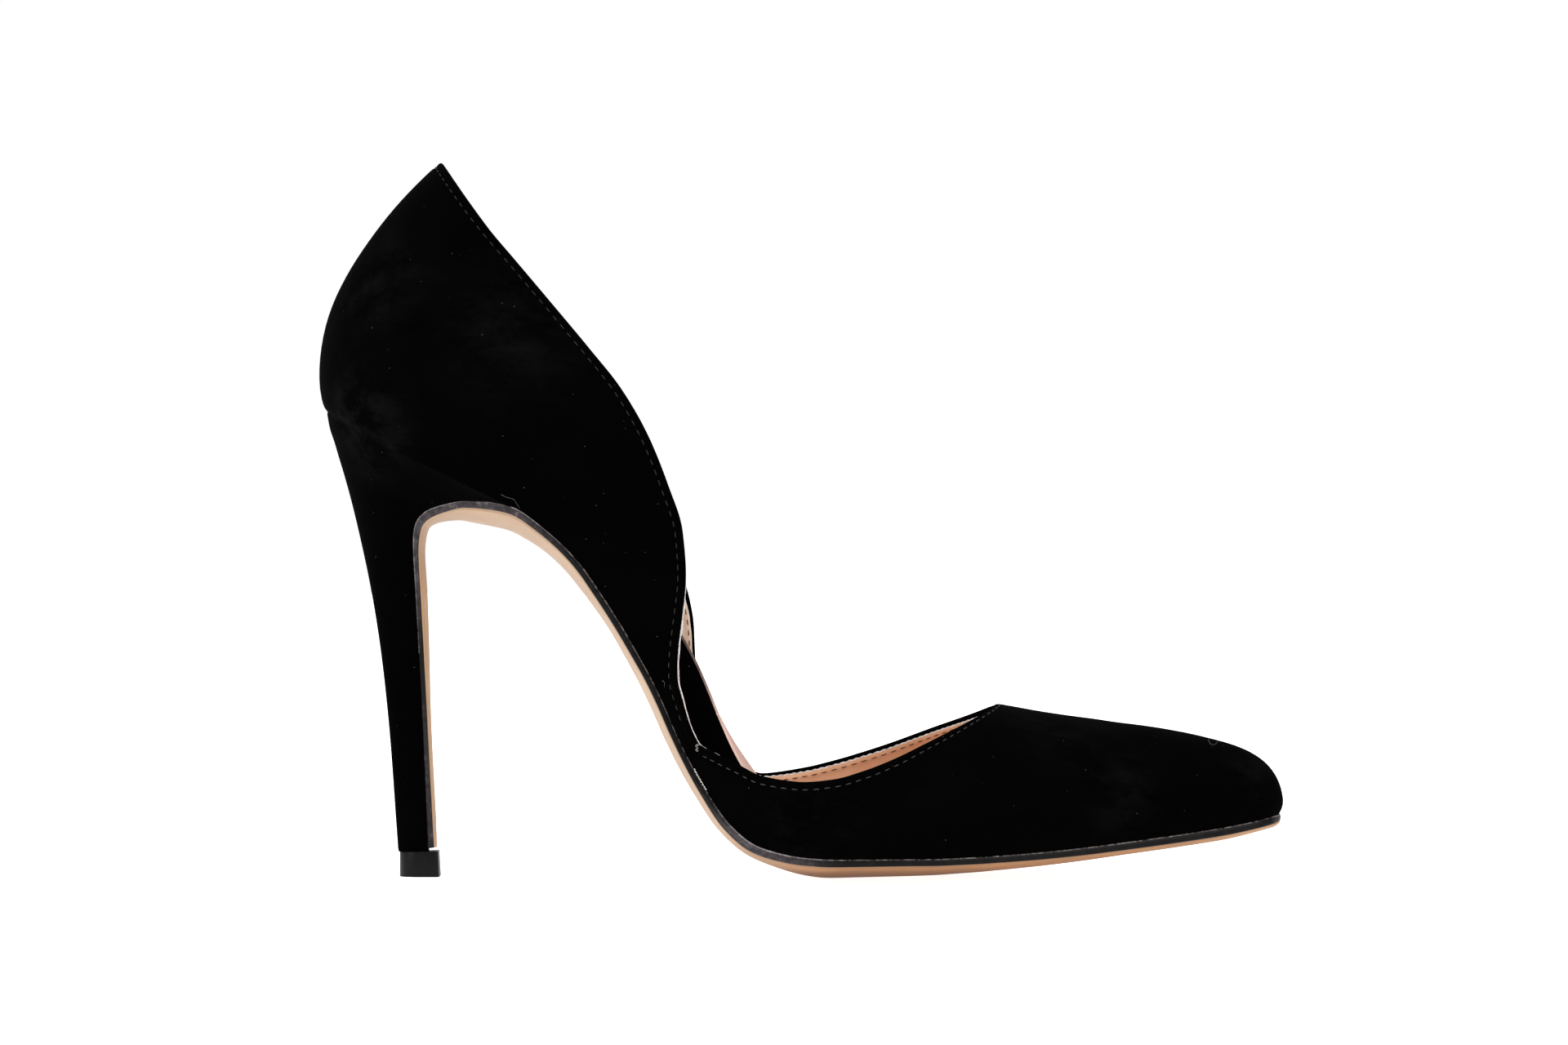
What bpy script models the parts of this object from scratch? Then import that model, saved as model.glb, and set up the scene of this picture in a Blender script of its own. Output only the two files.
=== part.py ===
"""High heel: a black suede pump with an open waist on a slim 101 mm heel, right shoe.

Metres, +Z up, toe along +X, inner side of the foot along +Y, floor at z = 0. Tables are in millimetres.
"""
import math
from collections import namedtuple

import bmesh
import bpy
import numpy as np

MM = 0.001

# Thicknesses and clearances.
WALL = 1.6             # suede and lining together
SEAM = 0.3             # room between pieces that meet
INSOLE_INSET = 2.2     # insole edge to sole edge: the wall and its room
SOCK_INSET = 2.6
SOCK_THICK = 1.0
EDGE_INSET = 0.2       # the painted edge lies just inside the upper
END_FLAT = 0.2         # how much of the rounded ends of a sheet is cut flat

# Shape of the sections of the upper.
BACK_FOOT = (-103.2, 101.3)
BACK_TOP = (-78.7, 155.4)
BACK_BULGE = 8.9       # how far the back of the counter stands out from its chord
BACK_LOW = 0.78        # below 1 puts the fullest place of the back lower down
BACK_FULL = 0.85       # below 1 fills the bulge towards its ends
HEEL_AXIS = 2.0
RIDGE_FALL = 0.25      # slope at which the ridge runs out over the toe
LEVELS = 10            # faces up the wall
FAN = 6                # faces from the back seam to the side of the seat

# Mesh steps between two rows of a table.
OPEN_STEPS = 2
CLOSED_STEPS = 2
HEEL_STEPS = 2

# One row per section of the upper. foot: sole edge in the side view. top: topline, or ridge once closed.
# outer, inner: y of the sole edge on either side. axis: y of the ridge. flare: how far the wall stands
# out beyond the sole edge, reached at flare_h above it. reach: share of the section up to the topline,
# in degrees, 90 is the ridge. rise, lead: how much taller and further forward the topline is on the
# inner side. power: roundness of the section, 2 is an ellipse.
Section = namedtuple(
    "Section", "foot_x foot_z top_x top_z outer inner axis flare flare_h reach rise lead power")

OPEN = [
    Section(-85.4, 93.9, -63.5, 136.0, 21.5, 25.5, 2.0, 3.5, 22, 43, -0.5, 0.0, 2.15),    # side of the seat
    Section(-76.8, 90.0, -54.4, 125.2, 21.6, 25.0, 2.0, 3.6, 24, 40, -0.5, 0.0, 2.15),
    Section(-68.0, 85.4, -45.8, 114.9, 20.8, 23.3, 1.6, 3.9, 25, 36, -0.6, 0.0, 2.15),
    Section(-59.9, 79.6, -38.8, 106.0, 19.6, 21.0, 1.0, 4.3, 26, 32, -0.8, 0.0, 2.15),
    Section(-53.5, 74.4, -33.3, 96.5, 18.8, 19.4, 0.5, 4.8, 26, 28, -1.1, 0.0, 2.15),
    Section(-48.0, 68.7, -28.8, 85.5, 18.4, 18.2, 0.0, 5.2, 26, 25, -1.3, 0.0, 2.15),
    Section(-43.5, 62.3, -25.7, 75.6, 18.1, 17.4, -0.3, 5.5, 26, 22, -1.0, 0.0, 2.15),
    Section(-39.4, 55.9, -25.0, 66.2, 18.0, 16.9, -0.5, 5.8, 26, 18, -0.6, 0.0, 2.15),
    Section(-35.7, 49.6, -25.6, 57.6, 18.2, 16.6, -0.5, 6.0, 26, 14, 1.2, 0.2, 2.15),
    Section(-32.5, 43.9, -26.8, 50.9, 18.7, 16.6, -0.5, 6.0, 25, 11, 4.0, 0.4, 2.15),
    Section(-29.6, 37.9, -27.0, 44.6, 19.4, 16.7, -0.5, 6.0, 24, 9, 4.2, 1.9, 2.15),
    Section(-26.8, 31.6, -25.7, 38.4, 20.5, 17.1, -0.5, 5.6, 22, 8, 2.6, 2.0, 2.15),
    Section(-23.6, 25.2, -22.3, 29.6, 22.1, 17.9, -0.5, 5.0, 20, 6, 0.6, 0.9, 2.15),      # low strip
    Section(-20.3, 19.6, -19.3, 27.9, 24.3, 19.2, -0.4, 4.4, 18, 9, -0.8, 0.0, 2.15),
    Section(-15.2, 12.6, -13.8, 25.4, 28.2, 21.7, -0.3, 3.6, 15, 12, -1.6, 0.0, 2.15),
    Section(-8.9, 8.1, -8.6, 23.1, 32.3, 25.2, -0.1, 2.8, 13, 13.5, -1.6, 0.0, 2.15),
    Section(0.4, 6.0, 0.4, 21.9, 35.3, 30.4, 0.2, 2.2, 11, 15.5, 0.7, 0.0, 2.15),
    Section(7.0, 5.6, 7.0, 22.5, 35.5, 33.1, 0.4, 2.0, 10.5, 18.5, 1.6, 0.0, 2.15),
    Section(13.6, 5.6, 13.6, 24.3, 34.6, 35.0, 0.6, 2.0, 10, 23.5, 1.7, 0.0, 2.15),
    Section(20.6, 5.6, 20.6, 27.0, 33.1, 35.5, 0.9, 2.0, 10, 31, 1.4, 0.0, 2.15),
    Section(27.6, 5.6, 27.6, 30.3, 31.3, 34.7, 1.1, 2.0, 10, 41.5, 0.8, 0.0, 2.15),
    Section(34.0, 5.8, 34.0, 33.3, 29.3, 33.1, 1.3, 2.0, 10, 53.5, 0.3, 0.0, 2.15),
    Section(38.6, 6.0, 38.6, 35.5, 27.8, 31.9, 1.4, 2.0, 10, 64.5, 0.0, 0.0, 2.15),
    Section(41.6, 6.2, 41.6, 36.9, 26.8, 31.0, 1.5, 2.0, 10, 74, 0.0, 0.0, 2.15),
    Section(43.0, 6.3, 43.0, 37.5, 26.3, 30.6, 1.6, 2.0, 10, 82.5, 0.0, 0.0, 2.15),
    Section(43.4, 6.3, 43.4, 37.6, 26.2, 30.5, 1.6, 2.0, 10, 90, 0.0, 0.0, 2.15),         # throat
]

CLOSED = [
    Section(43.4, 6.3, 43.4, 37.6, 26.2, 30.5, 1.6, 2.0, 10, 90, 0.0, 0.0, 2.15),         # throat
    Section(51.6, 6.9, 51.6, 36.2, 23.2, 27.6, 1.9, 2.0, 10, 90, 0.0, 0.0, 2.15),
    Section(60.3, 7.7, 60.3, 34.9, 19.9, 24.5, 2.2, 2.0, 10, 90, 0.0, 0.0, 2.15),
    Section(70.0, 8.8, 69.5, 33.6, 15.9, 21.1, 2.6, 2.0, 10, 90, 0.0, 0.0, 2.12),
    Section(80.8, 10.1, 78.5, 32.4, 11.2, 17.4, 3.1, 1.9, 9, 90, 0.0, 0.0, 2.1),
    Section(91.8, 11.6, 85.6, 31.1, 6.5, 13.7, 3.6, 1.7, 8, 90, 0.0, 0.0, 2.1),
    Section(97.4, 12.5, 88.5, 30.4, 4.1, 11.8, 3.9, 1.5, 7, 90, 0.0, 0.0, 2.15),
    Section(100.6, 13.1, 88.5, 30.4, 2.5, 10.4, 3.9, 1.3, 6, 90, 0.0, 0.0, 2.2),
    Section(102.9, 13.6, 88.5, 30.4, 0.4, 8.3, 3.9, 1.1, 5, 90, 0.0, 0.0, 2.2),
    Section(104.0, 13.8, 88.5, 30.4, -1.8, 6.0, 3.9, 1.0, 4, 90, 0.0, 0.0, 2.2),
    Section(104.3, 13.9, 88.5, 30.4, -3.9, 3.9, 3.9, 1.0, 4, 90, 0.0, 0.0, 2.2),          # toe
]

# Heel and the sole flap on its front. front: where the sole meets the heel. outer, inner: y of the front
# edge on either side. back: the heel's back line. swell: extra width half-way. edge, crown: thickness of
# the sole at its edge and what its rounded underside adds in the middle.
Tread = namedtuple("Tread", "front_x front_z outer inner back_x back_z swell edge crown")

HEEL = [
    Tread(-62.1, 80.4, 19.9, 21.6, -103.2, 101.0, 5.2, 1.6, 3.1),
    Tread(-67.4, 82.2, 17.3, 20.6, -102.7, 97.9, 4.6, 1.7, 3.7),
    Tread(-72.8, 82.5, 14.9, 18.7, -101.8, 95.1, 3.8, 1.7, 3.4),
    Tread(-77.2, 81.7, 12.7, 16.6, -100.9, 91.8, 3.0, 1.6, 1.7),
    Tread(-80.6, 79.3, 10.4, 14.4, -99.9, 87.9, 2.2, 1.4, 0.6),
    Tread(-82.8, 75.6, 8.4, 12.4, -98.1, 81.7, 1.4, 1.3, 0.5),
    Tread(-83.8, 70.0, 6.4, 10.4, -95.9, 73.3, 0.8, 1.3, 0.6),
    Tread(-83.8, 61.1, 4.8, 8.8, -93.8, 63.0, 0.4, 1.2, 0.7),
    Tread(-83.4, 48.8, 3.6, 7.6, -91.7, 48.8, 0.2, 1.1, 0.6),
    Tread(-82.6, 31.0, 2.7, 6.7, -89.7, 31.0, 0.1, 1.0, 0.4),
    Tread(-81.4, 13.2, 2.2, 6.2, -88.3, 13.2, 0.1, 0.9, 0.3),
    Tread(-81.1, 5.7, 2.1, 6.1, -87.8, 5.7, 0.1, 0.9, 0.3),
]
FLAP_END = 6.9         # height at which the flap stops above the tip

# Outsole in front of the heel: thickness at the edge and crown, by x.
Bottom = namedtuple("Bottom", "x edge crown")

OUTSOLE = [
    Bottom(-62.1, 1.6, 2.9),
    Bottom(-53.0, 1.7, 2.0),
    Bottom(-46.5, 1.6, 1.7),
    Bottom(-39.3, 1.6, 1.0),
    Bottom(-32.2, 1.6, 1.2),
    Bottom(-25.1, 1.6, 1.1),
    Bottom(-18.0, 1.6, 1.1),
    Bottom(-10.9, 1.5, 2.0),
    Bottom(-3.7, 1.4, 3.0),
    Bottom(3.5, 1.4, 3.9),
    Bottom(23.0, 1.4, 3.9),
    Bottom(35.4, 1.4, 3.4),
    Bottom(49.7, 1.5, 2.8),
    Bottom(71.0, 1.6, 2.0),
    Bottom(92.4, 1.6, 1.2),
    Bottom(103.6, 1.5, 0.5),
]
FLAT_SHARE = 0.24      # middle of the sole width that is flat across

# Insole thickness by x.
INSOLE_X = (-103.2, -80.0, -58.0, -42.0, -30.0, -14.0, -4.0, 8.0, 40.0, 103.6)
INSOLE_THICK = (3.4, 3.6, 4.6, 7.4, 8.3, 8.3, 6.2, 4.4, 3.6, 3.0)

# Wear tip, D-shaped with a flat front.
TIP_FRONT = -78.9
TIP_BACK = -87.5
TIP_HALF = 4.3
TIP_TOP = 5.4
TIP_CHAMFER = 0.4


def smooth(values, at):
    """Values given at 0, 1, 2 and so on, read at a place between two of them without overshoot."""
    value = np.asarray(values, float)
    step = np.diff(value)
    slope = np.zeros(len(value))
    slope[0] = step[0]
    slope[-1] = step[-1]
    for k in range(1, len(step)):
        if step[k - 1] * step[k] > 0:
            slope[k] = 2 * step[k - 1] * step[k] / (step[k - 1] + step[k])
    k = min(int(at), len(step) - 1)
    t = at - k
    start = (1 + 2 * t) * (1 - t) ** 2 * value[k] + t * (1 - t) ** 2 * slope[k]
    return start + t * t * (3 - 2 * t) * value[k + 1] + t * t * (t - 1) * slope[k + 1]


def rows(table, steps):
    """The rows of a table with smooth ones between them."""
    count = (len(table) - 1) * steps + 1
    kind = type(table[0])
    return [kind(*(smooth(column, i / steps) for column in zip(*table))) for i in range(count)]


def wall(row, side, closed):
    """Outer face of the upper at one section, from the sole edge up; side is -1 outer, +1 inner."""
    width = row.outer if side < 0 else row.inner
    lean = np.array((row.top_x - row.foot_x, row.top_z - row.foot_z))
    if side > 0:
        lean *= 1 + row.rise / np.hypot(*lean)
        lean[0] += row.lead
    reach = math.radians(row.reach)
    power = 2 / row.power
    crown = lean / math.sin(reach) ** power
    foot = np.array((row.foot_x, side * width))
    ridge = np.array((row.top_x if closed else row.foot_x, row.axis))
    points = []
    for level in range(LEVELS + 1):
        angle = reach * level / LEVELS
        up = math.sin(angle) ** power
        out = math.cos(angle) ** power if level < LEVELS or not closed else 0.0
        room = max(0.0, 1 - np.hypot(*crown) * up / row.flare_h)
        spread = foot - ridge
        spread *= (1 + row.flare * (1 - room ** 2) / max(np.hypot(*spread), 1e-6)) * out
        x = ridge[0] + spread[0] + (0.0 if closed else crown[0] * up)
        z = row.foot_z + crown[1] * up - RIDGE_FALL * spread[0] * (1 - out)
        points.append((x, ridge[1] + spread[1], z))
    return np.array(points)


def back_wall():
    """Outer face of the counter along the back seam."""
    foot = np.array(BACK_FOOT)
    chord = np.array(BACK_TOP) - foot
    behind = np.array((-chord[1], chord[0])) / np.hypot(*chord)
    points = []
    for level in range(LEVELS + 1):
        t = level / LEVELS
        x, z = foot + chord * t + behind * BACK_BULGE * math.sin(math.pi * t ** BACK_LOW) ** BACK_FULL
        points.append((x, HEEL_AXIS, z))
    return np.array(points)


def upper_side(side):
    """Sections of one side of the upper, from just beside the back seam to just beside the toe."""
    seat = wall(OPEN[0], side, False)
    back = back_wall()
    columns = []
    for i in range(1, FAN):
        turn = math.pi / 2 * i / FAN
        column = seat + (back - seat) * math.cos(turn)
        column[:, 1] = HEEL_AXIS + (seat[:, 1] - HEEL_AXIS) * math.sin(turn)
        columns.append(column)
    columns += [wall(row, side, False) for row in rows(OPEN, OPEN_STEPS)]
    columns += [wall(row, side, True) for row in rows(CLOSED, CLOSED_STEPS)[1:-1]]
    return columns


def sole_line():
    """The sole edge from the back of the seat to the toe: length along it, x, z, outer y and inner y."""
    line = []
    seat = OPEN[0]
    for turn in np.linspace(0, math.pi / 2, 13)[:-1]:
        x = seat.foot_x + (BACK_FOOT[0] - seat.foot_x) * math.cos(turn)
        z = seat.foot_z + (BACK_FOOT[1] - seat.foot_z) * math.cos(turn)
        outer = HEEL_AXIS + (-seat.outer - HEEL_AXIS) * math.sin(turn)
        inner = HEEL_AXIS + (seat.inner - HEEL_AXIS) * math.sin(turn)
        line.append((x, z, outer, inner))
    for row in rows(OPEN, 4)[:-1] + rows(CLOSED, 4):
        line.append((row.foot_x, row.foot_z, -row.outer, row.inner))
    x, z, outer, inner = np.array(line).T
    run = np.concatenate(((0.0,), np.cumsum(np.hypot(np.diff(x), np.diff(z)))))
    return run, x, z, outer, inner


def inset_edge(run, y, inset):
    """One side of the sole edge moved in by a distance, measured in the plane of the sole."""
    tangent = np.stack((np.gradient(run), np.gradient(y)))
    tangent /= np.hypot(*tangent)
    into = np.sign(-y[len(y) // 2])
    return run - tangent[1] * inset * into, y + tangent[0] * inset * into


def outline(inset, places):
    """Half-widths of a piece inset from the sole edge, at places along the sole from 0 (heel) to 1 (toe)."""
    run, x, z, outer, inner = sole_line()
    stations = []
    first = run[0] + inset + END_FLAT
    last = run[-1] - inset - END_FLAT
    for place in places:
        at = first + (last - first) * place
        sides = []
        for y in (outer, inner):
            edge_run, edge_y = inset_edge(run, y, inset)
            order = np.argsort(edge_run)
            sides.append(np.interp(at, edge_run[order], edge_y[order]))
        slope = np.array((np.interp(at + 1, run, x) - np.interp(at - 1, run, x),
                          np.interp(at + 1, run, z) - np.interp(at - 1, run, z)))
        slope /= np.hypot(*slope)
        point = np.array((np.interp(at, run, x), np.interp(at, run, z)))
        stations.append((point, np.array((-slope[1], slope[0])), sides[0], sides[1]))
    return stations


def spread_places(count, ends):
    """Places from 0 to 1 that crowd towards both ends; a higher ends value crowds them more."""
    even = np.linspace(0, 1, count)
    return (1 - ends) * even + ends * (1 - np.cos(math.pi * even)) / 2


def layer(places, inset, low, high):
    """Rings of a sheet that lies along the sole between two heights above it, both functions of x."""
    rings = []
    for point, up, outer, inner in outline(inset, places):
        base = point + up * low(point[0])
        top = point + up * high(point[0])
        rings.append([(base[0], outer, base[1]), (base[0], inner, base[1]),
                      (top[0], inner, top[1]), (top[0], outer, top[1])])
    return rings


def insole_top(x):
    return np.interp(x, INSOLE_X, INSOLE_THICK)


def sock_base(x):
    return insole_top(x) + SEAM


def sock_top(x):
    return sock_base(x) + SOCK_THICK


def on_sole(x):
    return 0.0


def outsole_rings():
    """Rings of the outsole from the toe to the end of the flap on the heel."""
    path = []
    bottom = np.array(OUTSOLE)
    for point, up, y_out, y_in in reversed(outline(EDGE_INSET, spread_places(60, 0.7))):
        if point[0] > HEEL[0].front_x + 1.5:
            edge = np.interp(point[0], bottom[:, 0], bottom[:, 1])
            crown = np.interp(point[0], bottom[:, 0], bottom[:, 2])
            path.append((point[0], point[1], y_out, y_in, edge, crown))
    for row in rows(HEEL, HEEL_STEPS):
        if row.front_z > FLAP_END:
            low = EDGE_INSET - row.outer
            high = row.inner - EDGE_INSET
            path.append((row.front_x, row.front_z, low, high, row.edge, row.crown))
    last = path[-1]
    path.append((last[0] + 0.15, FLAP_END, *last[2:]))
    path = np.array(path)
    tangent = np.gradient(path[:, :2], axis=0)
    tangent /= np.hypot(*tangent.T)[:, None]
    shares = (1.0, 0.84, 0.6, FLAT_SHARE, 0.0, -FLAT_SHARE, -0.6, -0.84, -1.0)
    rings = []
    for (px, pz, y_out, y_in, edge, crown), (tx, tz) in zip(path, tangent):
        down = np.array((-tz, tx))
        top = np.array((px, pz)) + down * SEAM
        ring = [(top[0], y_out, top[1]), (top[0], y_in, top[1])]
        for share in shares:
            fall = max(0.0, (abs(share) - FLAT_SHARE) / (1 - FLAT_SHARE))
            low = top + down * (edge + crown * (1 - fall ** 2))
            y = (y_in + y_out) / 2 + share * (y_in - y_out) / 2
            ring.append((low[0], y, max(low[1], 0.0)))
        rings.append(ring)
    return rings


def heel_rings():
    """Rings of the heel from the seat down to the tip; each runs from its outer front round the back."""
    turns = np.linspace(0, math.pi / 2, 9)
    run, x, z, outer, inner = sole_line()
    edges = [inset_edge(run, y, EDGE_INSET) for y in (outer, inner)]
    rings = []
    for i, row in enumerate(rows(HEEL, HEEL_STEPS)):
        sides = ([], [])
        for turn in turns:
            share = 1 - math.cos(turn)
            px = row.back_x + (row.front_x - row.back_x) * share
            pz = row.back_z + (row.front_z - row.back_z) * share
            fullness = row.swell * 4 * share * (1 - share)
            for k, reach in enumerate((-row.outer - HEEL_AXIS, row.inner - HEEL_AXIS)):
                y = HEEL_AXIS + reach * math.sin(turn) + math.copysign(fullness, reach)
                if i == 0:
                    at = np.interp(px, x, run)
                    y = np.interp(at, *edges[k]) if share > 0 else HEEL_AXIS
                    pz = np.interp(px, x, z) - SEAM
                sides[k].append((px, y, pz))
        rings.append(sides[0][::-1] + sides[1][1:])
    return rings


def tip_rings():
    """Rings of the wear tip from the floor up."""
    rings = []
    for z, inset in ((0.0, TIP_CHAMFER), (TIP_CHAMFER, 0.0), (TIP_TOP, 0.0)):
        half = TIP_HALF - inset
        ring = [(TIP_FRONT - inset, HEEL_AXIS - half, z)]
        middle = TIP_BACK + TIP_HALF
        for turn in np.linspace(-math.pi / 2, math.pi / 2, 13):
            ring.append((middle - half * math.cos(turn), HEEL_AXIS + half * math.sin(turn), z))
        ring.append((TIP_FRONT - inset, HEEL_AXIS + half, z))
        rings.append(ring)
    return rings


def material(name, colour, roughness):
    surface = bpy.data.materials.new(name)
    surface.use_nodes = True
    shader = surface.node_tree.nodes["Principled BSDF"]
    shader.inputs["Base Color"].default_value = (*colour, 1.0)
    shader.inputs["Roughness"].default_value = roughness
    surface.diffuse_color = (*colour, 1.0)
    return surface


def add_object(name, mesh_data, surface):
    mesh = bpy.data.meshes.new(name)
    mesh_data.to_mesh(mesh)
    mesh_data.free()
    mesh.materials.append(surface)
    item = bpy.data.objects.new(name, mesh)
    shoe.objects.link(item)
    return item


def loft(name, rings, surface, ladder=False):
    """A closed solid through rings of equal length; ladder ends join the two halves of a ring."""
    solid = bmesh.new()
    loops = [[solid.verts.new([c * MM for c in point]) for point in ring] for ring in rings]
    count = len(loops[0])
    for low, high in zip(loops, loops[1:]):
        for k in range(count):
            n = (k + 1) % count
            solid.faces.new((low[k], low[n], high[n], high[k]))
    for ring in (loops[0], loops[-1]):
        if ladder:
            for k in range(count // 2):
                corners = [ring[k], ring[k + 1], ring[-2 - k], ring[-1 - k]]
                solid.faces.new(list(dict.fromkeys(corners)))
        else:
            solid.faces.new(ring)
    bmesh.ops.recalc_face_normals(solid, faces=solid.faces[:])
    return add_object(name, solid, surface)


def upper(surface):
    """The wall as one open sheet, thickened inwards."""
    toe = wall(CLOSED[-1], 1, True)
    columns = [back_wall()] + upper_side(-1) + [toe] + upper_side(1)[::-1]
    sheet = bmesh.new()
    grid = [[sheet.verts.new([c * MM for c in point]) for point in column] for column in columns]
    for here, there in zip(grid, grid[1:] + grid[:1]):
        for k in range(LEVELS):
            sheet.faces.new((here[k], there[k], there[k + 1], here[k + 1]))
    bmesh.ops.remove_doubles(sheet, verts=sheet.verts[:], dist=0.00001)
    item = add_object("upper", sheet, surface)
    shell = item.modifiers.new("wall", "SOLIDIFY")
    shell.thickness = WALL * MM
    shell.offset = -1.0
    shell.use_even_offset = True
    shell.use_quality_normals = True
    return item


for item in list(bpy.data.objects):
    bpy.data.objects.remove(item, do_unlink=True)
shoe = bpy.data.collections.new("high_heel")
bpy.context.scene.collection.children.link(shoe)

suede = material("black_suede", (0.012, 0.011, 0.012), 0.95)
wrapped = material("suede_wrapped_board", (0.010, 0.009, 0.009), 0.9)
pale_leather = material("pale_sock_leather", (0.60, 0.42, 0.36), 0.6)
sole_leather = material("tan_sole_leather", (0.56, 0.36, 0.22), 0.5)
heel_suede = material("black_heel_suede", (0.012, 0.011, 0.012), 0.95)
tip_rubber = material("charcoal_rubber", (0.03, 0.028, 0.03), 0.6)

upper(suede)
loft("insole", layer(spread_places(44, 0.85), INSOLE_INSET, on_sole, insole_top), wrapped)
loft("sock_lining", layer(spread_places(44, 0.85), SOCK_INSET, sock_base, sock_top), pale_leather)
loft("outsole", outsole_rings(), sole_leather)
loft("heel", heel_rings(), heel_suede, ladder=True)
loft("top_piece", tip_rings(), tip_rubber)
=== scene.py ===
import math
from collections import namedtuple

import bpy
import numpy as np
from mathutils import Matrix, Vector, noise
from mathutils.bvhtree import BVHTree


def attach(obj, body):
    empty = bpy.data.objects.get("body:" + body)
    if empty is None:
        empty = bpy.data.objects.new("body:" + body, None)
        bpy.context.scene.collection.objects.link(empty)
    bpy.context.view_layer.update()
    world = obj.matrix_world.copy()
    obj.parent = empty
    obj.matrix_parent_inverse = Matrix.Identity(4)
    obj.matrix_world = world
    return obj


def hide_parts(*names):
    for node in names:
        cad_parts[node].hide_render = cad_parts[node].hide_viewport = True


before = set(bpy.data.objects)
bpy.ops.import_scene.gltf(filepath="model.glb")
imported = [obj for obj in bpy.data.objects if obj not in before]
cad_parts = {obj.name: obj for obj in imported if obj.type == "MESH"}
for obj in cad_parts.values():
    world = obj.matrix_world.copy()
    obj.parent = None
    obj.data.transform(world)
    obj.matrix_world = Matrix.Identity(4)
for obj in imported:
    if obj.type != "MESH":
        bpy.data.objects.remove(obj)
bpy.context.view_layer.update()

# Suede upper: a vamp over the toes and a one-piece quarter round the heel, cut from black split suede
# about a millimetre thick. They are pulled over the last, tucked under at the sole edge, and butt
# together on a narrow strip at the waist. All sizes are in millimetres, toe along +X, inner side +Y.
MM = 0.001
SUEDE = 1.0
FOOT_TUCK = 0.38       # how far the suede goes in under the feather line
EDGE_TRIM = 0.3        # what the rounded edge adds to the sheet at the topline
EDGE_STEPS = 4         # faces round a cut edge

# Points up the wall: close together in a band at either edge, at even levels between.
SAMPLES = 97           # points that trace a line before it is divided
OVERRUN = 2.0          # how far the line runs straight on past both ends of the wall
FOOT_BAND = 3.0
IN_FOOT_BAND = (0.0, 0.3, 0.7, 1.2, 2.0)
TOP_BAND = 4.6
IN_TOP_BAND = (0.0, 0.2, 0.4, 0.6, 0.8, 1.0, 1.2, 1.4, 1.6, 1.8, 2.1, 2.5, 3.0, 3.8)
WALL_LEVELS = 25
NO_TOPLINE = 99.0      # distance from the topline that the closed toe is given

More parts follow.
